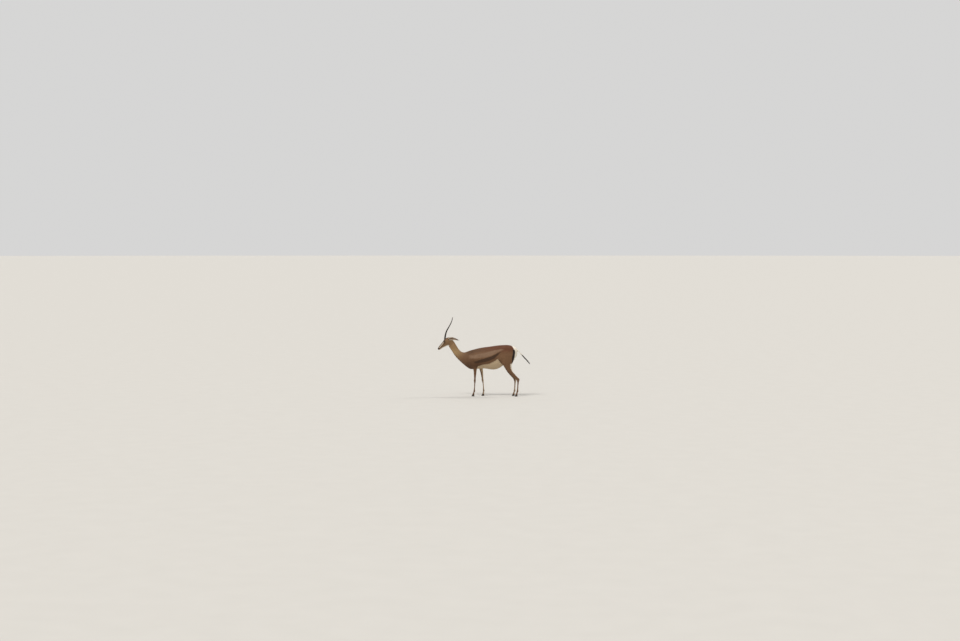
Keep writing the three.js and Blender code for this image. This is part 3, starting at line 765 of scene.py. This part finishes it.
def spots_on(mesh, region, count, rng):
    """Random roots on one region of the skin, denser where the coat is shorter, with their facings."""
    mesh.calc_loop_triangles()
    corners = np.empty(len(mesh.loop_triangles) * 3, np.int32)
    mesh.loop_triangles.foreach_get("vertices", corners)
    corners = corners.reshape(-1, 3)
    points, normals = places(mesh), facings(mesh)
    a, b, c = (points[corners[:, k]] for k in range(3))
    area = np.linalg.norm(np.cross(b - a, c - a), axis=1) / 2
    middle = (a + b + c) / 3
    weight = np.where(region_of(middle) == region, area / tuft_length(middle) ** 2, 0)
    chosen = rng.choice(len(corners), count, p=weight / weight.sum())
    first, second = rng.random((2, count))
    first, second = np.where(first + second > 1, [1 - first, 1 - second], [first, second])
    share = np.stack([1 - first - second, first, second], 1)[:, :, None]
    return (points[corners[chosen]] * share).sum(1), unit((normals[corners[chosen]] * share).sum(1))


def tuft_length(points):
    """The coat's length: longest on the rump, chest and belly, shortest on the face and feet."""
    _, y, z = points.T
    along = in_head(points)[0]
    length = np.where(z < 0.50, 0.0072 - 0.0020 * steps(z, 0.30, 0.05), 0.0125)
    head = steps(along, -0.08, 0.03) * (z > HEAD_FLOOR)
    length = length * (1 - head) + 0.0065 * head
    length -= 0.0022 * steps(along, 0.16, 0.28) + 0.0018 * steps(eye_reach(points), 2.6, 1.6)
    rump = (y > 0.545) & (z > 0.56)
    return np.where(rump, 0.0175, np.where(near_ear(points), 0.0062, length))


# Coats


PATCH = 0.003


def many(name, verts, faces, corners, patch, numbers, rng):
    """A mesh of one small shape many times over, each with a tone and its patch of the unwrap."""
    count, each = verts.shape[:2]
    loops = (np.array(faces)[None] + each * np.arange(count)[:, None, None]).reshape(-1)
    mesh = bpy.data.meshes.new(name)
    mesh.vertices.add(count * each)
    mesh.vertices.foreach_set("co", verts.astype(np.float32).ravel())
    mesh.loops.add(len(loops))
    mesh.loops.foreach_set("vertex_index", loops.astype(np.int32))
    mesh.polygons.add(len(loops) // 3)
    mesh.polygons.foreach_set("loop_start", np.arange(0, len(loops), 3, dtype=np.int32))
    mesh.update(calc_edges=True)
    spots = (corners[:, None] + PATCH * np.array(patch)).reshape(-1, 2)
    mesh.uv_layers.new(name="OFBake").uv.foreach_set("vector", spots[loops].astype(np.float32).ravel())
    numbers = numbers | {"tone": rng.random(count)}
    keep_numbers(mesh, {key: np.repeat(values, each) for key, values in numbers.items()})
    return piece(name, mesh)


TUFT_FACES = [[4, 1, 0], [3, 4, 0], [5, 2, 1], [4, 5, 1], [3, 0, 2], [5, 3, 2], [6, 4, 3], [6, 5, 4], [6, 3, 5],
              [1, 2, 0]]
TUFT_PATCH = [[0, 0], [1, 0], [0.5, 0.1], [0, 0.5], [1, 0.5], [0.5, 0.6], [0.5, 1]]


def tufts(name, roots, normals, lengths, rng, numbers, corners):
    """A coat piece: flat tapered tufts, each a closed wedge that is sunk in the skin at its root."""
    count = len(roots)
    ways = lie(roots, normals)
    ways = unit(ways + np.cross(ways, normals) * np.tan(rng.normal(0, 0.12, count))[:, None])
    aside = np.cross(ways, normals)
    length = lengths[:, None]
    width, lift = 0.21 * length, 0.0002 + 0.042 * length
    curl = rng.normal(0, 0.10, count)[:, None] * length
    thick = 0.0002 + 0.085 * width
    corners_of_tuft = []
    for share, wide, rise in [(0.0, 0.55, -0.9), (0.5, 1.0, 0.15)]:
        centre = roots + ways * length * share + normals * lift * rise + aside * curl * share**2
        corners_of_tuft += [centre - aside * width * wide / 2, centre + aside * width * wide / 2,
                            centre + normals * thick]
    tip = roots + ways * length + normals * lift * 0.55 + aside * curl
    thing = many(name, np.stack([*corners_of_tuft, tip], 1), TUFT_FACES, corners, TUFT_PATCH, numbers, rng)
    shading = [unit(normals - 0.35 * aside), unit(normals + 0.35 * aside), normals] * 2
    shading = np.stack([*shading, unit(normals + 0.25 * ways)], 1)
    thing.data.normals_split_custom_set_from_vertices(shading.reshape(-1, 3))
    return thing


def unwrapped(points):
    """A place for each root on the skin laid flat: round the body across, and along it upwards."""
    low, high = -0.70, 0.82
    middle = np.interp(points[:, 1], [-0.6, -0.4, 0, 0.5], [0.92, 0.70, 0.68, 0.75])
    round_body = np.arctan2(points[:, 0], points[:, 2] - middle) / (2 * np.pi) + 0.5
    along = (points[:, 1] - low) / (high - low)
    return np.clip(np.stack([round_body, along], 1) * 0.98 + 0.005, 0, 0.995)


def unwrapped_legs(points):
    """As above, with the four legs side by side, each round across and its height upwards."""
    x, y, z = points.T
    hind = y > MID_BODY
    shift, middle_x, middle_y = np.where(hind, leg_middle(points, False), leg_middle(points, True))
    turn = np.arctan2(y - shift - middle_y, np.abs(x) - middle_x) / (2 * np.pi) + 0.5
    return np.clip(np.stack([(2.0 * hind + (x < 0) + 0.96 * turn) / 4, z / 0.56], 1), 0, 0.995)


def unwrapped_head(points):
    """As above, with the head round its own length, and the ears beside it."""
    along, above, _ = in_head(points)
    turn = np.arctan2(points[:, 0], above + 0.02) / (2 * np.pi) + 0.5
    flat = np.stack([0.01 + 0.6 * turn, np.clip(0.02 + (along + 0.12) / 0.44, 0, 0.99)], 1)
    for side, start in ((1, 0.62), (-1, 0.81)):
        v, offset, _, across, opening = on_ear(points, side, np.linspace(0, 1, 40))
        own = (np.linalg.norm(offset, axis=1) < EAR_REACH) & (v > EAR_START)
        round_ear = np.arctan2((offset * across).sum(1), (offset * opening).sum(1)) / (2 * np.pi) + 0.5
        flat = np.where(own[:, None], np.stack([start + 0.18 * round_ear, v], 1), flat)
    return np.clip(flat, 0, 0.995)


COATS = [("coat_ears", 11000, unwrapped_head), ("coat_face", 20500, unwrapped_head),
         ("coat_legs", 17500, unwrapped_legs), ("coat_left", 19900, unwrapped), ("coat_right", 19900, unwrapped)]


def bare_of_tufts(points, numbers):
    """Where no tuft grows: at the eyes, horns, hooves, lips, nostrils, the ears' cups and their roots."""
    near = (eye_reach(points) <= 1.30) | (points[:, 2] <= 0.031) | (numbers["bare"] >= 0)
    near |= (to_lips(points) <= 0.003) | (to_nostril(points) <= 0.005)
    for side in SIDES.values():
        horn = sided(HORN_LINE, side)
        near |= to_line(points, horn[0], horn[2]) <= 0.0135
        near |= to_line(points, *curve(sided(EAR_LINE, side), [0, 0.22])) <= 0.014
    return near


def make_coats(skin, share):
    """The short coat, in pieces by region, with this share of all its tufts."""
    rng = np.random.default_rng(5)
    for region, (name, count, unwrap) in enumerate(COATS):
        roots, normals = spots_on(skin.data, region, int(count * share), rng)
        numbers = marked(roots, normals)
        kept = ~bare_of_tufts(roots, numbers)
        roots, normals = roots[kept], normals[kept]
        jitter = rng.normal(0, 0.0026, len(roots)) * (1 - 0.6 * steps(in_head(roots)[0], -0.05, 0.02))
        shaken = {"white": 1, "brown": 1, "pale": 1, "dark": 0.4}
        numbers = {key: values[kept] + shaken.get(key, 0) * jitter for key, values in numbers.items()}
        lengths = tuft_length(roots) * rng.uniform(0.8, 1.25, len(roots))
        yield tufts(name, roots, normals, lengths, rng, numbers, unwrap(roots))


def strands(root, way, length, rings, bend=0, amount=0):
    """A row of points from each root along its way, bent more and more towards the tip."""
    share = np.linspace(0, 1, rings)
    return (root[:, None] + way[:, None] * (length[:, None] * share)[:, :, None]
            + bend * (amount * length[:, None] * share**2)[:, :, None])


def locks(name, roots, outs, paths, widths, corners, rng, **given):
    """Long flat tapered locks of one colour that follow paths, one row of points a lock."""
    count, rings = paths.shape[:2]
    along = unit(np.gradient(paths, axis=1))
    aside = unit(np.cross(along, outs[:, None]))
    facing = np.cross(aside, along)
    share = np.linspace(0, 1, rings)[None, :, None]
    wide = widths[:, None, None] * np.sin(np.pi * np.clip(0.18 + 0.80 * share, 0, 1))
    thick = 0.22 * wide + 0.0002
    sides = [paths - aside * wide / 2, paths - facing * thick / 2, paths + aside * wide / 2,
             paths + facing * thick / 2]
    faces = []
    for ring in range(rings - 1):
        for k in range(4):
            a, b = 4 * ring + k, 4 * ring + (k + 1) % 4
            faces += [[a, b, b + 4], [a, b + 4, a + 4]]
    last = 4 * (rings - 1)
    faces += [[2, 1, 0], [3, 2, 0], [last, last + 1, last + 2], [last, last + 2, last + 3]]
    patch = np.stack([np.tile([0, 0.3, 1, 0.7], rings), np.repeat(np.linspace(0, 1, rings), 4)], 1)
    numbers = {key: np.full(count, OUTSIDE) for key in ("white", "dark", "brown", "pale", "bare")}
    numbers |= {key: np.zeros(count) for key in ("red", "light", "shade", "cream", "legs")}
    numbers |= {key: np.broadcast_to(np.asarray(value, float), count) for key, value in given.items()}
    return many(name, np.stack(sides, 2).reshape(count, rings * 4, 3), faces, corners, patch, numbers, rng)


def make_tail_tuft():
    """The tail's tuft: long black locks round its outer half, under shorter ones further up."""
    rng = np.random.default_rng(23)
    count, rings = 420, 7
    place = 0.34 + 0.50 * rng.random(count) ** 0.8
    turn = rng.uniform(0, 2 * np.pi, count)
    along = heading(TAIL_LINE, place)
    upward = np.stack([0 * place, along[:, 2], -along[:, 1]], 1)
    out = unit(SIDEWAYS * np.sin(turn)[:, None] + upward * np.cos(turn)[:, None])
    root = curve(TAIL_LINE, place) + out * 0.0035
    reach = (1.04 - place) / 0.55
    length = np.minimum(0.095 * rng.uniform(0.75, 1.1, count), 0.30 * reach * rng.uniform(0.8, 1.0, count) + 0.02)
    share = np.linspace(0, 1, rings)
    lift = (0.006 * np.sin(np.pi * 0.8 * share)[None] * (1 - 0.4 * place[:, None])
            - 0.002 * share[None] ** 2) * rng.uniform(0.5, 1.3, (count, 1))
    sway = rng.normal(0, 0.05, (count, 1)) * length[:, None] * share[None] ** 2
    paths = strands(root, along, length, rings, np.array([0, 0, -1.0]), 0.10)
    paths += out[:, None] * lift[:, :, None] + np.cross(along, out)[:, None] * sway[:, :, None]
    widths = rng.uniform(0.0022, 0.0038, count)
    corners = np.stack([turn / (2 * np.pi), place], 1) * 0.98
    return locks("tail_tuft", root, out, paths, widths, corners, rng,
                 dark=(place - 0.40) * 0.2, white=(0.42 - place) * 0.2)


def make_ear_fringe():
    """Pale hairs that lie from the rims across the cup of each ear."""
    rng = np.random.default_rng(31)
    count, parts = 190, []
    for side in SIDES.values():
        v = rng.uniform(0.26, 0.88, count)
        middle, back, across, opening = ear_frame(side, v)
        wide, deep = ear_sizes(v)
        edge = np.where(rng.random(count) < 0.6, 1.0, -1.0)
        turn = np.radians(92) * edge * rng.uniform(0.80, 0.98, count)
        root = moved(middle, ((wide - 0.003) * np.sin(turn), across), (-(deep - 0.003) * np.cos(turn), opening))
        way = unit(back * 0.9 - across * edge[:, None] * 0.75 + opening * 0.10)
        length = np.minimum(wide * 1.1, 0.024) * rng.uniform(0.7, 1.0, count)
        paths = strands(root, way, length, 5, opening[:, None], -0.20)
        corners = np.stack([0.5 * v + (side > 0) * 0.48, v], 1)
        parts.append((root, opening, paths, rng.uniform(0.0009, 0.0016, count), np.clip(corners, 0, 0.99)))
    # The fringe's white hair is dimmed by painted shade.
    return locks("ear_fringe", *map(np.concatenate, zip(*parts)), rng, white=0.02, cream=0.6)


def make_lashes():
    """Dark lashes along each upper lid."""
    rng = np.random.default_rng(37)
    count, parts = 30, []
    turn = np.radians(np.linspace(22, 158, count))
    x, y = lid_line(turn)
    for side in SIDES.values():
        centre, outward, across, upward = eye_frame(side)
        root = moved(centre, (x, across), (y, upward), (eyeball_rise(x, y) + 0.0016, outward))
        way = unit(x[:, None] * across * rng.uniform(0.3, 0.7, (count, 1)) + 0.010 * outward)
        paths = strands(root, way, rng.uniform(0.0035, 0.0060, count), 5, upward, 0.28)
        corners = np.stack([turn / 4, np.full(count, 0.3 + 0.3 * (side > 0))], 1)
        parts.append((root, np.broadcast_to(outward, root.shape), paths, np.full(count, 0.0005), corners))
    return locks("lashes", *map(np.concatenate, zip(*parts)), rng, dark=0.03)


# Horn, hoof and eye


HORN_RADIUS, HORN_TIP, HORN_OVAL = 0.0128, 0.0013, 1.18
HORN_RINGS, HORN_RINGED = 23, 0.72


def make_horn(name, side):
    """A lyre-shaped horn with worn ridges that fade towards its smooth tip."""
    line = sided(HORN_LINE, side)

    def place(u, v):
        turn = 2 * np.pi * u
        along = heading(line, v)
        ahead = unit(np.stack([0 * v, -along[:, 2], along[:, 1]], 1))
        wave = (v / HORN_RINGED * HORN_RINGS + 0.12 * np.sin(turn + 0.6)) % 1
        ridge = (1 - np.abs(2 * wave - 1) ** 2.6) * (0.7 + 0.3 * np.cos(turn) ** 2)
        fade = 1 - steps(v, 0.34, HORN_RINGED + 0.04)
        radius = HORN_RADIUS + (HORN_TIP - HORN_RADIUS) * v**1.25
        radius = radius * (0.96 + (0.17 * ridge - 0.08) * fade) * np.where(v < 1, 1, 0.2)
        return moved(curve(line, v), (radius * HORN_OVAL * np.cos(turn), ahead), (radius * np.sin(turn), SIDEWAYS))

    return piece(name, closed(bent(24, 290, place)))


def make_hoof(name, node):
    """A claw: its solid, rounded, drawn in at the coronet, with faint growth rings round the wall."""
    thing = piece(name, remeshed(solids([node]), 0.0014, 4))
    points = places(thing.data)
    line, front = (FORE_LINE, True) if "foreleg" in node else (HIND_LINE, False)
    ankle = np.array([line[-2]])
    ankle = ankle[0, 1] + (leg_shift(ankle, front)[0] if "right" in node else 0)
    below = 0.0235 - 0.245 * (points[:, 1] - ankle) - points[:, 2]
    inset = 0.0002 + 0.0034 * steps(below, 0.011, 0.0) + 0.0002 * np.sin(below * 2 * np.pi / 0.0038)
    away = (points - points.mean(0)) * [1, 1, 0]
    reach = np.linalg.norm(away, axis=1)
    points -= away * (np.minimum(inset, 0.4 * reach) / np.maximum(reach, 1e-6))[:, None]
    points[:, 2] = np.maximum(points[:, 2], 0.0)
    put(thing.data, points)
    return thing


def make_dewclaws():
    """Two small horny points behind each fetlock."""
    joined = bmesh.new()
    for side in SIDES.values():
        for line, front in ((FORE_LINE, True), (HIND_LINE, False)):
            centre = np.array(sided(line, side)[-3], float)
            centre[1] += leg_shift(centre[None], front)[0] if side < 0 else 0
            for x in (-0.0082, 0.0082):
                made = bmesh.ops.create_uvsphere(joined, u_segments=14, v_segments=10, radius=1)["verts"]
                for vert in made:
                    drop = max(0, -vert.co.z)
                    vert.co.x *= 0.0046 * (1 - 0.35 * drop)
                    vert.co.y = vert.co.y * 0.0058 * (1 - 0.30 * drop) + 0.002 * drop
                    vert.co.z *= 0.0085
                bmesh.ops.translate(joined, verts=made, vec=(centre[0] + x, centre[1] + 0.0098, centre[2] - 0.009))
    return piece("dewclaws", joined)


def make_eye(name, side):
    """An eyeball with a bulging cornea; its numbers say how far each point lies from the pupil."""
    centre, outward, across, upward = eye_frame(side)
    shape = bmesh.new()
    bmesh.ops.create_icosphere(shape, subdivisions=5, radius=EYE_RADIUS)
    directions = np.array([vert.co for vert in shape.verts]) / EYE_RADIUS
    front = np.clip(directions @ outward, -1, 1)
    bulge = 0.0008 * steps(front, 0.60, 0.98)
    for vert, way, rise in zip(shape.verts, directions, bulge):
        vert.co = Vector(centre + way * (EYE_RADIUS + rise - 0.0001))
    thing = piece(name, shape)
    angle = np.degrees(np.arccos(front))
    wide, tall = directions @ across, directions @ upward
    slit = 1 - np.sqrt((wide / 0.34) ** 2 + (tall / 0.17) ** 2)
    keep_numbers(thing.data, {"angle": angle / 90, "slit": np.where(front > 0, slit, -1)})
    return thing


# Materials


class Value:
    """A socket of a material on which sums can be written."""

    def __init__(self, shader, socket):
        self.shader, self.socket = shader, socket

    def sum(self, operation, *others):
        return self.shader.add("ShaderNodeMath", {"operation": operation}, [self, *others])

    def __add__(self, other):
        return self.sum("ADD", other)

    def __sub__(self, other):
        return self.sum("SUBTRACT", other)

    def __mul__(self, other):
        return self.sum("MULTIPLY", other)

    def __rsub__(self, other):
        return self.shader.add("ShaderNodeMath", {"operation": "SUBTRACT"}, [other, self])

    __radd__, __rmul__ = __add__, __mul__

    def ramp(self, low, high):
        """From 0 at low to 1 at high, smoothly."""
        return self.shader.add("ShaderNodeMapRange", {"interpolation_type": "SMOOTHSTEP"},
                               {"Value": self, "From Min": low, "From Max": high})


class Shader:
    """A new material with one Principled surface."""

    def __init__(self, name, roughness, **settings):
        self.material = bpy.data.materials.new(name)
        self.material.use_nodes = True
        self.nodes = self.material.node_tree.nodes
        self.surface = self.nodes["Principled BSDF"]
        self.surface.inputs["Roughness"].default_value = roughness
        for key, value in settings.items():
            self.surface.inputs[key.replace("_", " ").title().replace("Ior", "IOR")].default_value = value

    def add(self, kind, settings=(), sockets=(), output=0):
        """A node of that kind, its settings made first, then its sockets filled with values or links."""
        node = self.nodes.new(kind)
        for key, value in dict(settings).items():
            setattr(node, key, value)
        pairs = sockets.items() if isinstance(sockets, dict) else enumerate(sockets)
        for key, value in pairs:
            self.link(value, node.inputs[key])
        return Value(self, node.outputs[output])

    def link(self, value, socket):
        if isinstance(value, Value):
            self.material.node_tree.links.new(value.socket, socket)
        else:
            socket.default_value = value

    def number(self, name):
        return self.add("ShaderNodeAttribute", {"attribute_name": name}, output="Fac")

    def place(self, scale=(1, 1, 1), turn=(0, 0, 0)):
        spot = self.add("ShaderNodeTexCoord", output="Object")
        return self.add("ShaderNodeMapping", {}, {"Vector": spot, "Scale": scale, "Rotation": turn})

    def noise(self, scale, detail=2.0, place=None):
        place = place or self.place()
        return self.add("ShaderNodeTexNoise", {}, {"Vector": place, "Scale": scale, "Detail": detail}, "Fac")

    def mix(self, factor, first, second):
        """A blend of two colours."""
        node = self.nodes.new("ShaderNodeMix")
        node.data_type = "RGBA"
        for key, value in ((0, factor), (6, first), (7, second)):
            self.link(value, node.inputs[key])
        return Value(self, node.outputs[2])

    def finish(self, colour, height=None, depth=0.0005, strength=0.5, roughness=None):
        self.link(colour, self.surface.inputs["Base Color"])
        if roughness is not None:
            self.link(roughness, self.surface.inputs["Roughness"])
        if height is not None:
            bump = self.add("ShaderNodeBump", {}, {"Height": height, "Distance": depth, "Strength": strength})
            self.link(bump, self.surface.inputs["Normal"])
        return self.material


def rgb(*levels):
    """A colour as seen on a screen, from 0 to 255, as the renderer counts it."""
    levels = [level / 255 for level in levels]
    return *(level / 12.92 if level <= 0.04045 else ((level + 0.055) / 1.055) ** 2.4 for level in levels), 1.0


FAWN, RUST, PALE_BAND = rgb(110, 80, 55), rgb(98, 59, 38), rgb(131, 104, 82)
NECK_FAWN, SHADED, DARK_BROWN = rgb(158, 130, 92), rgb(80, 54, 34), rgb(66, 45, 29)
# The third colour below is white hair in painted shade.
BLACK_HAIR, WHITE_HAIR, SHADED_WHITE_HAIR = rgb(32, 25, 20), rgb(240, 231, 214), rgb(184, 162, 132)
# The bare skin of the ear cups, its own colour darkened to grey-brown as painted shade.
SHADED_BARE_SKIN = rgb(112, 86, 70)


def coat_colour(shader):
    """The markings, shared by skin and coat: each number is a depth inside its marking, in metres."""
    blur = (shader.noise(70, 3) - 0.5) * 0.016 + (shader.noise(520, 2) - 0.5) * 0.010
    soft, crisp = 0.011, 0.0045
    colour = shader.mix(shader.number("light"), FAWN, NECK_FAWN)
    colour = shader.mix(shader.number("red"), colour, RUST)
    colour = shader.mix(shader.number("shade"), colour, SHADED)
    colour = shader.mix((shader.number("pale") + blur).ramp(-soft, soft) * 0.85, colour, PALE_BAND)
    colour = shader.mix((shader.number("brown") + blur * 0.7).ramp(-soft * 0.8, soft * 0.8), colour, DARK_BROWN)
    # Painted shade: white hair dimmed to a shaded buff as far as that number says.
    pale_hair = shader.mix(shader.number("cream"), WHITE_HAIR, SHADED_WHITE_HAIR)
    colour = shader.mix((shader.number("white") + blur * 0.4).ramp(-crisp, crisp), colour, pale_hair)
    colour = shader.mix((shader.number("dark") + blur * 0.35).ramp(-crisp * 0.7, crisp * 0.7), colour, BLACK_HAIR)
    return shader.mix((shader.number("bare") + blur * 0.3).ramp(-0.003, 0.003), colour, SHADED_BARE_SKIN)


def varied(shader, colour, amount, low=0.80, high=1.14):
    """The colour made a little darker and lighter."""
    grey = shader.add("ShaderNodeMapRange", {}, {"Value": amount, "To Min": low, "To Max": high})
    return shader.add("ShaderNodeVectorMath", {"operation": "SCALE"}, {0: colour, "Scale": grey})


def hair_bump(shader):
    """Fine hair that runs back on the body and down on the legs."""
    level = shader.noise(230, 3, shader.place((1, 0.16, 0.75)))
    hanging = shader.noise(230, 3, shader.place((1, 1, 0.14)))
    legs = shader.number("legs")
    return level * (1 - legs) + hanging * legs


def skin_material():
    shader = Shader("short_hair_on_skin", 0.62, specular_ior_level=0.2, sheen_weight=0.05, sheen_roughness=0.5)
    hair = hair_bump(shader)
    colour = varied(shader, coat_colour(shader), hair, 0.74, 1.16)
    return shader.finish(colour, hair, 0.0016, 0.7)


def coat_material():
    shader = Shader("hair_tufts", 0.58, specular_ior_level=0.2, sheen_weight=0.06, sheen_roughness=0.5)
    streak = shader.noise(900, 2)
    colour = varied(shader, coat_colour(shader), shader.number("tone") * 0.7 + streak * 0.3, 0.84, 1.14)
    return shader.finish(colour, streak, 0.0003, 0.4)


def lock_material():
    shader = Shader("long_hair", 0.45, specular_ior_level=0.4)
    streak = shader.noise(800, 3, shader.place((1, 0.2, 0.2)))
    colour = varied(shader, coat_colour(shader), shader.number("tone") * 0.5 + streak * 0.5, 0.75, 1.3)
    return shader.finish(colour, streak, 0.0004, 0.5)


def horn_material():
    shader = Shader("ringed_horn", 0.42, specular_ior_level=0.3)
    grain = shader.noise(300, 4, shader.place((1, 1, 0.10)))
    cloud = shader.noise(26, 3)
    colour = shader.mix(grain.ramp(0.3, 0.72), rgb(22, 18, 15), rgb(58, 48, 39))
    colour = shader.mix(cloud.ramp(0.45, 0.8) * 0.5, colour, rgb(46, 35, 27))
    return shader.finish(colour, grain, 0.0005, 0.6, roughness=0.34 + grain * 0.25)


def hoof_material():
    shader = Shader("hoof_horn", 0.45, specular_ior_level=0.4)
    growth = shader.noise(420, 2, shader.place((0.12, 0.12, 1)))
    dust = shader.noise(60, 3)
    colour = shader.mix(growth, rgb(32, 27, 25), rgb(70, 61, 54))
    colour = shader.mix(dust.ramp(0.5, 0.8) * 0.45, colour, rgb(126, 104, 84))
    return shader.finish(colour, growth, 0.0004, 0.5, roughness=0.4 + dust * 0.3)


def eye_material():
    shader = Shader("wet_eye", 0.10, specular_ior_level=0.12, coat_weight=0.35, coat_roughness=0.03)
    angle, slit = shader.number("angle"), shader.number("slit")
    fibres = shader.noise(700, 3)
    iris = shader.mix(fibres, rgb(22, 12, 7), rgb(46, 26, 14))
    colour = shader.mix(angle.ramp(0.60, 0.68), iris, rgb(16, 12, 11))
    return shader.finish(shader.mix(slit.ramp(-0.05, 0.12), colour, rgb(4, 4, 5)))


def floor_material():
    shader = Shader("pale_floor", 0.85)
    return shader.finish(shader.mix(shader.noise(3, 2), rgb(194, 191, 185), rgb(199, 196, 190)))


# Studio


def set_camera():
    """The photograph's view: its eye level, distance and framing."""
    low, high = CAD_BOX
    centre = (low + high) / 2
    focal = LENS / SENSOR * IMAGE_WIDTH
    distance = focal * PIXEL_AT_ANIMAL
    drop = math.asin((EYE_LEVEL - centre.z) / distance)
    back = Vector((math.sin(AZIMUTH) * math.cos(drop), -math.cos(AZIMUTH) * math.cos(drop), math.sin(drop)))
    right = Vector((math.cos(AZIMUTH), math.sin(AZIMUTH), 0))
    upward = back.cross(right)
    right_of_middle = (ANIMAL_PIXEL[0] - IMAGE_WIDTH / 2) / focal
    below_middle = (ANIMAL_PIXEL[1] - IMAGE_HEIGHT / 2) / focal
    aim = -back - right * right_of_middle + upward * below_middle
    camera = bpy.data.objects.new("camera", bpy.data.cameras.new("camera"))
    camera.data.lens, camera.data.sensor_width = LENS, SENSOR
    camera.data.clip_end = 1000
    camera.location = centre + back * distance
    camera.rotation_euler = aim.to_track_quat("-Z", "Y").to_euler()
    bpy.context.scene.collection.objects.link(camera)
    bpy.context.scene.camera = camera


def sun(name, energy, spread, direction, colour):
    """A soft distant lamp that shines from that direction."""
    lamp = bpy.data.lights.new(name, "SUN")
    lamp.energy, lamp.angle, lamp.color = energy, math.radians(spread), colour
    thing = bpy.data.objects.new(name, lamp)
    thing.rotation_euler = Vector(direction).to_track_quat("Z", "Y").to_euler()
    bpy.context.scene.collection.objects.link(thing)


def set_studio():
    shape = bmesh.new()
    bmesh.ops.create_circle(shape, segments=96, radius=500, cap_ends=True)
    floor = piece("floor", shape)
    floor.data.materials.append(floor_material())
    sun("key", 1.9, 22, (1.0, -0.75, 1.6), (1.0, 0.98, 0.95))
    sun("rim", 0.8, 14, (-0.7, 0.9, 1.3), (1.0, 0.97, 0.93))
    world = bpy.data.worlds.new("studio")
    world.use_nodes = True
    world.node_tree.nodes["Background"].inputs["Color"].default_value = (0.84, 0.837, 0.832, 1)
    world.node_tree.nodes["Background"].inputs["Strength"].default_value = 0.80
    bpy.context.scene.world = world
    bpy.context.scene.view_settings.view_transform = "Standard"


def settle(thing, slot, material, *nodes):
    """Gives a piece its body, finish and the solids that it stands for; the slot is not used."""
    thing.data.materials.clear()
    thing.data.materials.append(material)
    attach(thing, "root")
    if nodes:
        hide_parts(*nodes)


set_camera()
set_studio()

skin = make_skin()
keep_numbers(skin.data, marked(places(skin.data), facings(skin.data)))
settle(skin, "coat", skin_material(), *FLESH, "ear_left", "ear_right")

coat_finish, hair_finish = coat_material(), lock_material()
for coat in make_coats(skin, 1.0):
    settle(coat, "coat", coat_finish)
settle(make_tail_tuft(), "tail_hair", hair_finish, "tail")
settle(make_ear_fringe(), "coat", hair_finish)
settle(make_lashes(), "tail_hair", hair_finish)

horn_finish, hoof_finish, eye_finish = horn_material(), hoof_material(), eye_material()
for name, side in SIDES.items():
    settle(make_horn(f"ringed_horn_{name}", side), "horn", horn_finish, f"horn_{name}")
    settle(make_eye(f"eyeball_{name}", side), "eye", eye_finish, f"eye_{name}")
for claw in CLAWS:
    settle(make_hoof(f"claw_{claw}", f"hoof_{claw}"), "hoof", hoof_finish, f"hoof_{claw}")
settle(make_dewclaws(), "hoof", hoof_finish)
